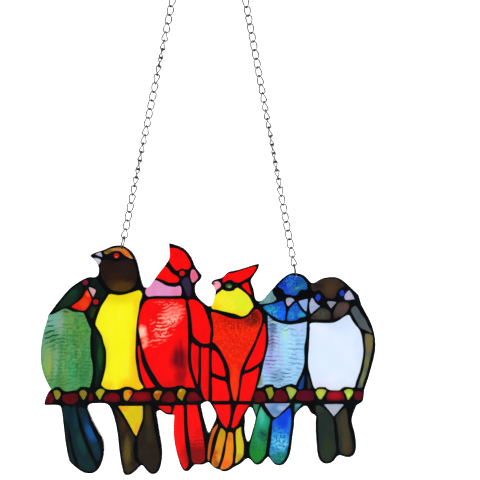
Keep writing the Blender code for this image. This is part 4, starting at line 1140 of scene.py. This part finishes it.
# Sub-assemblies
@dataclass
class PrintedSheet:
    """The cut sheet with its picture on both faces.

    A face is part of the cut edge where its normal's y is under edge_on. A loop narrower than a
    small hole is a jump ring's hole.
    """

    name: str = "printed_bird_sheet"
    node: str = "acrylic_panel"
    weld: float = 1e-6
    tolerance: float = 1e-7
    flat_angle: float = 0.0001
    edge_on: float = 0.5
    small_hole: float = 0.003
    snug_hole: float = 0.0014
    snug_lift: float = 0.00015
    ink: BlackInk = field(default_factory=BlackInk)
    edge: ClearEdge = field(default_factory=ClearEdge)

    def cut_loops(self) -> tuple[list[list[Flat]], float, float]:
        """The outline, slots and holes of the CAD sheet.

        Returns:
            The loops as x and z in metres, largest first, and the front and back faces' y.
        """
        low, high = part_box(self.node)
        bm = bmesh.new()
        bm.from_mesh(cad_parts[self.node].data)
        bmesh.ops.remove_doubles(bm, verts=bm.verts, dist=self.weld)
        middle = 0.5 * (low.y + high.y)
        rim = [e for e in bm.edges if all(v.co.y < middle for v in e.verts)
               and any(abs(f.normal.y) < self.edge_on for f in e.link_faces)]
        beside: dict[int, list[int]] = {}
        for e in rim:
            a, b = (v.index for v in e.verts)
            beside.setdefault(a, []).append(b)
            beside.setdefault(b, []).append(a)
        bm.verts.ensure_lookup_table()
        loops = []
        while beside:
            start = next(iter(beside))
            chain = [start]
            while True:
                onward = [k for k in beside.pop(chain[-1]) if k in beside]
                if not onward:
                    break
                chain.append(onward[0])
            loops.append(anticlockwise([(bm.verts[k].co.x, bm.verts[k].co.z) for k in chain]))
        bm.free()
        spans = [max(p[0] for p in loop) - min(p[0] for p in loop) for loop in loops]
        loops = [self.snug(loop, span) for loop, span in zip(loops, spans)]
        loops = [loop for _, loop in sorted(zip(spans, loops), reverse=True)]
        return loops, low.y, high.y

    def snug(self, loop: list[Flat], span: float) -> list[Flat]:
        """Closes a jump ring's hole up around its wire; other loops stay.

        Args:
            loop: a loop of the sheet.
            span: its width.

        Returns:
            The loop to draw.
        """
        if span > self.small_hole:
            return loop
        x, z = (sum(p[k] for p in loop) / len(loop) for k in (0, 1))
        share = self.snug_hole / span
        return [(x + share * (p[0] - x), z + share * (p[1] - z) + self.snug_lift) for p in loop]

    def picture(self, loops: list[list[Flat]]) -> tuple[list[Vector], list[list[int]], list[int]]:
        """The sheet's face cut up along the edges of all panes.

        Args:
            loops: the sheet's own loops, outline first.

        Returns:
            The points, the triangles and each triangle's material number, with black as 0.
        """
        numbers = {glass.name: k + 1 for k, glass in enumerate(GLASSES)}
        drawn: list[tuple[int, list[Flat]]] = []
        for glass, line, text in PANES:
            loop = smooth_loop(text)
            if line > 0.0:
                drawn.append((0, widened(loop, line)))
            drawn.append((numbers[glass], loop))
        flat = [Vector(p) for loop in loops for p in loop]
        x, _, z = DRAWING_ORIGIN
        for _, loop in drawn:
            flat += [Vector((x + u * MM, z + v * MM)) for u, v in loop]
        sizes = [len(loop) for loop in loops] + [len(loop) for _, loop in drawn]
        starts = np.concatenate([[0], np.cumsum(sizes)])
        polygons = [list(range(starts[k], starts[k + 1])) for k in range(len(sizes))]
        points, _, triangles, _, _, within = delaunay_2d_cdt(flat, [], polygons, 1, self.tolerance)
        kept, inks = [], []
        for triangle, inside in zip(triangles, within):
            own = [k for k in inside if k < len(loops)]
            if own != [0]:
                continue
            panes = [k - len(loops) for k in inside if k >= len(loops)]
            kept.append(list(triangle))
            inks.append(drawn[max(panes)][0] if panes else 0)
        return points, kept, inks

    def build(self) -> None:
        """Makes the sheet."""
        loops, front, back = self.cut_loops()
        points, triangles, inks = self.picture(loops)
        mesh = bpy.data.meshes.new(self.name)
        mesh.from_pydata([(p.x, front, p.y) for p in points], [], triangles)
        for finish in (self.ink, *GLASSES, self.edge):
            mesh.materials.append(finish.material())
        mesh.polygons.foreach_set("material_index", inks)
        item = bpy.data.objects.new(self.name, mesh)
        bpy.context.scene.collection.objects.link(item)
        make_active(item)
        bpy.ops.object.mode_set(mode="EDIT")
        bpy.ops.mesh.select_all(action="SELECT")
        bpy.ops.mesh.dissolve_limited(angle_limit=self.flat_angle, delimit={"MATERIAL"})
        bpy.ops.mesh.delete_loose()
        bpy.ops.mesh.select_all(action="SELECT")
        bpy.ops.mesh.extrude_region_move(TRANSFORM_OT_translate={"value": (0.0, back - front, 0.0)})
        bpy.ops.mesh.select_all(action="SELECT")
        bpy.ops.mesh.normals_make_consistent(inside=False)
        bpy.ops.object.mode_set(mode="OBJECT")
        for face in mesh.polygons:
            if abs(face.normal.y) < self.edge_on:
                face.material_index = len(GLASSES) + 1
        settle(item, self.node)


@dataclass(frozen=True)
class ChainPath:
    """A straight run of chain from its foot at the sheet's hole to its top at the middle link.

    Its rolls are pairs of a link's number from the foot and the turn there in degrees.
    """

    foot: Flat
    top: Flat
    links: int
    rolls: tuple[Flat, ...]

    def matrix(self, distance: float, roll: float) -> Matrix:
        """The place of a link or ring on the run.

        Args:
            distance: how far up the run its middle is.
            roll: its turn about the run, in radians.

        Returns:
            The matrix that puts it there.
        """
        along = (Vector(self.top) - Vector(self.foot)).normalized()
        up = Vector((along.x, 0.0, along.y))
        right = Vector((along.y, 0.0, -along.x))
        turned = Matrix((right, (0.0, 1.0, 0.0), up)).transposed().to_4x4()
        start = Vector((self.foot[0], 0.0, self.foot[1])) + up * distance
        return Matrix.Translation(start) @ turned @ Matrix.Rotation(roll, 4, "Z")

    def roll_at(self, number: int) -> float:
        """The turn of one link about the run, in radians."""
        degrees = np.interp(number, [p[0] for p in self.rolls], [p[1] for p in self.rolls])
        return math.radians(float(degrees))


@dataclass
class Chain:
    """The curb chain: two runs of twisted links, the middle link and a jump ring at each foot.

    The wire is drawn a hair thinner than the solid wire, so that it stays within it. A link's reach
    is the length between the middles of its end wires, over which it has its twist. The ring's seat
    and top and the first link are places up a run, in metres from the hole's middle.
    """

    wire: float = 0.00098
    solid_wire: float = 0.001
    wire_sides: int = 8
    link_length: float = 0.0083
    link_width: float = 0.0054
    link_steps: int = 24
    pitch: float = 0.0063
    reach: float = 0.00725
    twist: float = math.radians(90.0)
    ring_radius: float = 0.0045
    ring_sides: int = 10
    ring_steps: int = 40
    ring_turn: float = math.radians(358.0)
    crease: float = math.radians(50.0)
    ring_seat: float = 0.0000123
    ring_top: float = 0.0090123
    first_link: float = -0.0013
    weld: float = 1e-7
    slot: str = "silver_steel"
    left: ChainPath = ChainPath(
        (-0.0643127, -0.3163642), (-0.00105, -0.0068), 49,
        ((0, 45), (1, 24), (2, 5), (8.5, -90), (16, -180), (21, -270), (26, -360), (48, -675)))
    right: ChainPath = ChainPath(
        (0.0613917, -0.3361807), (0.00105, -0.0068), 52,
        ((0, 45), (1, 24), (2, 5), (12, -90), (24, -180), (51, -315)))
    steel: bpy.types.Material = field(default_factory=lambda: PlatedSteel().material())

    def link(self, name: str, twist: float) -> Thing:
        """Models one link about its own middle, its long way up.

        Args:
            name: the object's name.
            twist: the turn from its lower end to its upper end.

        Returns:
            The link.
        """
        deselect_all()
        bpy.ops.mesh.primitive_torus_add(
            major_radius=0.5 * (self.link_width - self.wire), minor_radius=0.5 * self.wire,
            major_segments=self.link_steps, minor_segments=self.wire_sides,
            rotation=(math.radians(90.0), 0.0, 0.0))
        item = bpy.context.object
        item.name = name
        bpy.ops.object.transform_apply(rotation=True)
        bpy.ops.object.mode_set(mode="EDIT")
        stretch = 0.5 * (self.link_length - self.link_width)
        waist = 1e-5
        for side in (1.0, -1.0):
            bpy.ops.mesh.select_all(action="DESELECT")
            bpy.ops.mesh.select_mode(type="VERT")
            bm = bmesh.from_edit_mesh(item.data)
            for vertex in bm.verts:
                vertex.select = side * vertex.co.z > waist
            bm.select_flush_mode()
            bmesh.update_edit_mesh(item.data)
            bpy.ops.transform.translate(value=(0.0, 0.0, side * stretch))
        bpy.ops.mesh.select_all(action="SELECT")
        bpy.ops.mesh.normals_make_consistent(inside=False)
        bpy.ops.object.mode_set(mode="OBJECT")
        if twist:
            bend = item.modifiers.new("curb_twist", "SIMPLE_DEFORM")
            bend.deform_method = "TWIST"
            bend.deform_axis = "Z"
            bend.angle = twist * self.link_length / self.reach
            bpy.ops.object.modifier_apply(modifier=bend.name)
        bpy.ops.object.shade_smooth()
        return item

    def run(self, name: str, path: ChainPath, model: Thing) -> Thing:
        """Lays the links of one run.

        Args:
            name: the piece's name.
            path: where the run goes.
            model: a link to copy.

        Returns:
            The links as one object.
        """
        links = [duplicate(model, name) for _ in range(path.links)]
        for number, link in enumerate(links):
            distance = self.ring_top + self.first_link + number * self.pitch + 0.5 * self.reach
            link.data.transform(path.matrix(distance, path.roll_at(number)))
        make_active(links[0])
        for link in links:
            link.select_set(True)
        bpy.ops.object.join()
        return links[0]

    def jump_ring(self) -> Thing:
        """Bends a jump ring about its own middle, with its ends a hair apart at the side.

        Returns:
            The ring.
        """
        deselect_all()
        bpy.ops.mesh.primitive_circle_add(
            vertices=self.ring_sides, radius=0.5 * self.wire, fill_type="NGON",
            location=(0.0, self.ring_radius, 0.0))
        item = bpy.context.object
        bpy.ops.object.transform_apply(location=True)
        bpy.ops.object.mode_set(mode="EDIT")
        bpy.ops.mesh.select_all(action="SELECT")
        bpy.ops.mesh.spin(
            steps=self.ring_steps, angle=self.ring_turn,
            center=(0.0, 0.0, 0.0), axis=(1.0, 0.0, 0.0))
        bpy.ops.mesh.select_all(action="SELECT")
        bpy.ops.mesh.remove_doubles(threshold=self.weld)
        bpy.ops.mesh.normals_make_consistent(inside=False)
        bpy.ops.object.mode_set(mode="OBJECT")
        bpy.ops.object.shade_smooth_by_angle(angle=self.crease)
        return item

    def build(self) -> None:
        """Makes the whole chain."""
        middle = self.link("chain_middle_link", 0.0)
        drop = self.solid_wire - 0.5 * self.link_length
        middle.data.transform(Matrix.Translation((0.0, 0.0, drop)))
        settle(middle, "chain_top_link", self.steel)
        link = self.link("curb_link", self.twist)
        for name, node, path in (
            ("left_curb_chain", "chain_left_run", self.left),
            ("right_curb_chain", "chain_right_run", self.right),
        ):
            settle(self.run(name, path, link), node, self.steel)
        ring = self.jump_ring()
        for name, node, path in (
            ("left_split_ring", "left_jump_ring", self.left),
            ("right_split_ring", "right_jump_ring", self.right),
        ):
            piece = duplicate(ring, name)
            piece.data.transform(path.matrix(self.ring_seat + self.ring_radius, 0.0))
            settle(piece, node, self.steel)
        for model in (link, ring):
            bpy.data.objects.remove(model)


@dataclass
class Studio:
    """A pale floor, a soft light panel behind, two soft lights in front and the camera."""

    aim: Vector = field(default_factory=lambda: Vector((0.02096, 0.0, -0.31005)))
    view_width: float = 0.3459
    distance: float = 0.5
    sensor: float = 36.0
    floor_size: Flat = (40.0, 40.0)
    floor_height: float = -1.0
    panel_size: Flat = (5.2, 4.4)
    panel_place: Triple = (0.0, 1.2, -0.2)
    softbox_place: Triple = (0.95, -0.95, 0.15)
    softbox_size: float = 0.8
    softbox_power: float = 14.0
    surround: str = "#606164"

    def plain(self, name: str, colour: str, glow: float) -> bpy.types.Material:
        """A plain staging material: matt, so that nothing stands mirrored in it.

        Args:
            name: its name.
            colour: its colour.
            glow: its own light, for the panel.

        Returns:
            The material.
        """
        return new_material(name, {
            "Base Color": linear(colour), "Roughness": 0.9, "Specular IOR Level": 0.0,
            "Emission Color": linear("#ffffff"), "Emission Strength": glow,
        })[0]

    def sheet(self, name: str, size: Flat, place: Triple, turn: float,
              material: bpy.types.Material) -> None:
        """Adds a flat staged surface.

        Args:
            name: its name.
            size: its two sides.
            place: its middle.
            turn: its turn about X, in radians.
            material: its material.
        """
        deselect_all()
        bpy.ops.mesh.primitive_plane_add(size=1.0, location=place, rotation=(turn, 0.0, 0.0))
        item = bpy.context.object
        item.name = name
        item.scale = (*size, 1.0)
        bpy.ops.object.transform_apply(location=True, rotation=True, scale=True)
        item.data.materials.append(material)

    def softbox(self, name: str, side: float) -> None:
        """Adds a soft light that faces the object.

        Args:
            name: its name.
            side: 1 to stand on the right, -1 on the left.
        """
        lamp = bpy.data.lights.new(name, "AREA")
        lamp.size = self.softbox_size
        lamp.energy = self.softbox_power
        item = bpy.data.objects.new(name, lamp)
        place = Vector((side * self.softbox_place[0], *self.softbox_place[1:]))
        item.location = place
        item.rotation_euler = (self.aim - place).to_track_quat("-Z", "Y").to_euler()
        bpy.context.scene.collection.objects.link(item)

    def build(self) -> None:
        """Sets up the staging, the lights and the camera."""
        scene = bpy.context.scene
        scene.view_settings.view_transform = "Standard"
        self.sheet("studio_floor", self.floor_size, (0.0, 0.0, self.floor_height), 0.0,
                   self.plain("pale_floor_paint", "#f2f2f0", 0.0))
        self.sheet("light_panel", self.panel_size, self.panel_place, math.radians(90.0),
                   self.plain("white_light_panel", "#ffffff", 1.0))
        self.softbox("left_softbox", -1.0)
        self.softbox("right_softbox", 1.0)
        world = bpy.data.worlds.new("studio_surround")
        world.use_nodes = True
        ground = next(n for n in world.node_tree.nodes if n.type == "BACKGROUND")
        ground.inputs["Color"].default_value = linear(self.surround)
        scene.world = world
        camera = bpy.data.cameras.new("camera")
        camera.sensor_width = self.sensor
        camera.lens = self.sensor * self.distance / self.view_width
        item = bpy.data.objects.new("camera", camera)
        item.location = self.aim - Vector((0.0, self.distance, 0.0))
        item.rotation_euler = (math.radians(90.0), 0.0, 0.0)
        scene.collection.objects.link(item)
        scene.camera = item


def main() -> None:
    """Builds the studio and the pieces in order."""
    logging.basicConfig(level=logging.INFO, format="%(message)s", stream=sys.stdout)
    Studio().build()
    PrintedSheet().build()
    Chain().build()


if __name__ == "__main__":
    main()
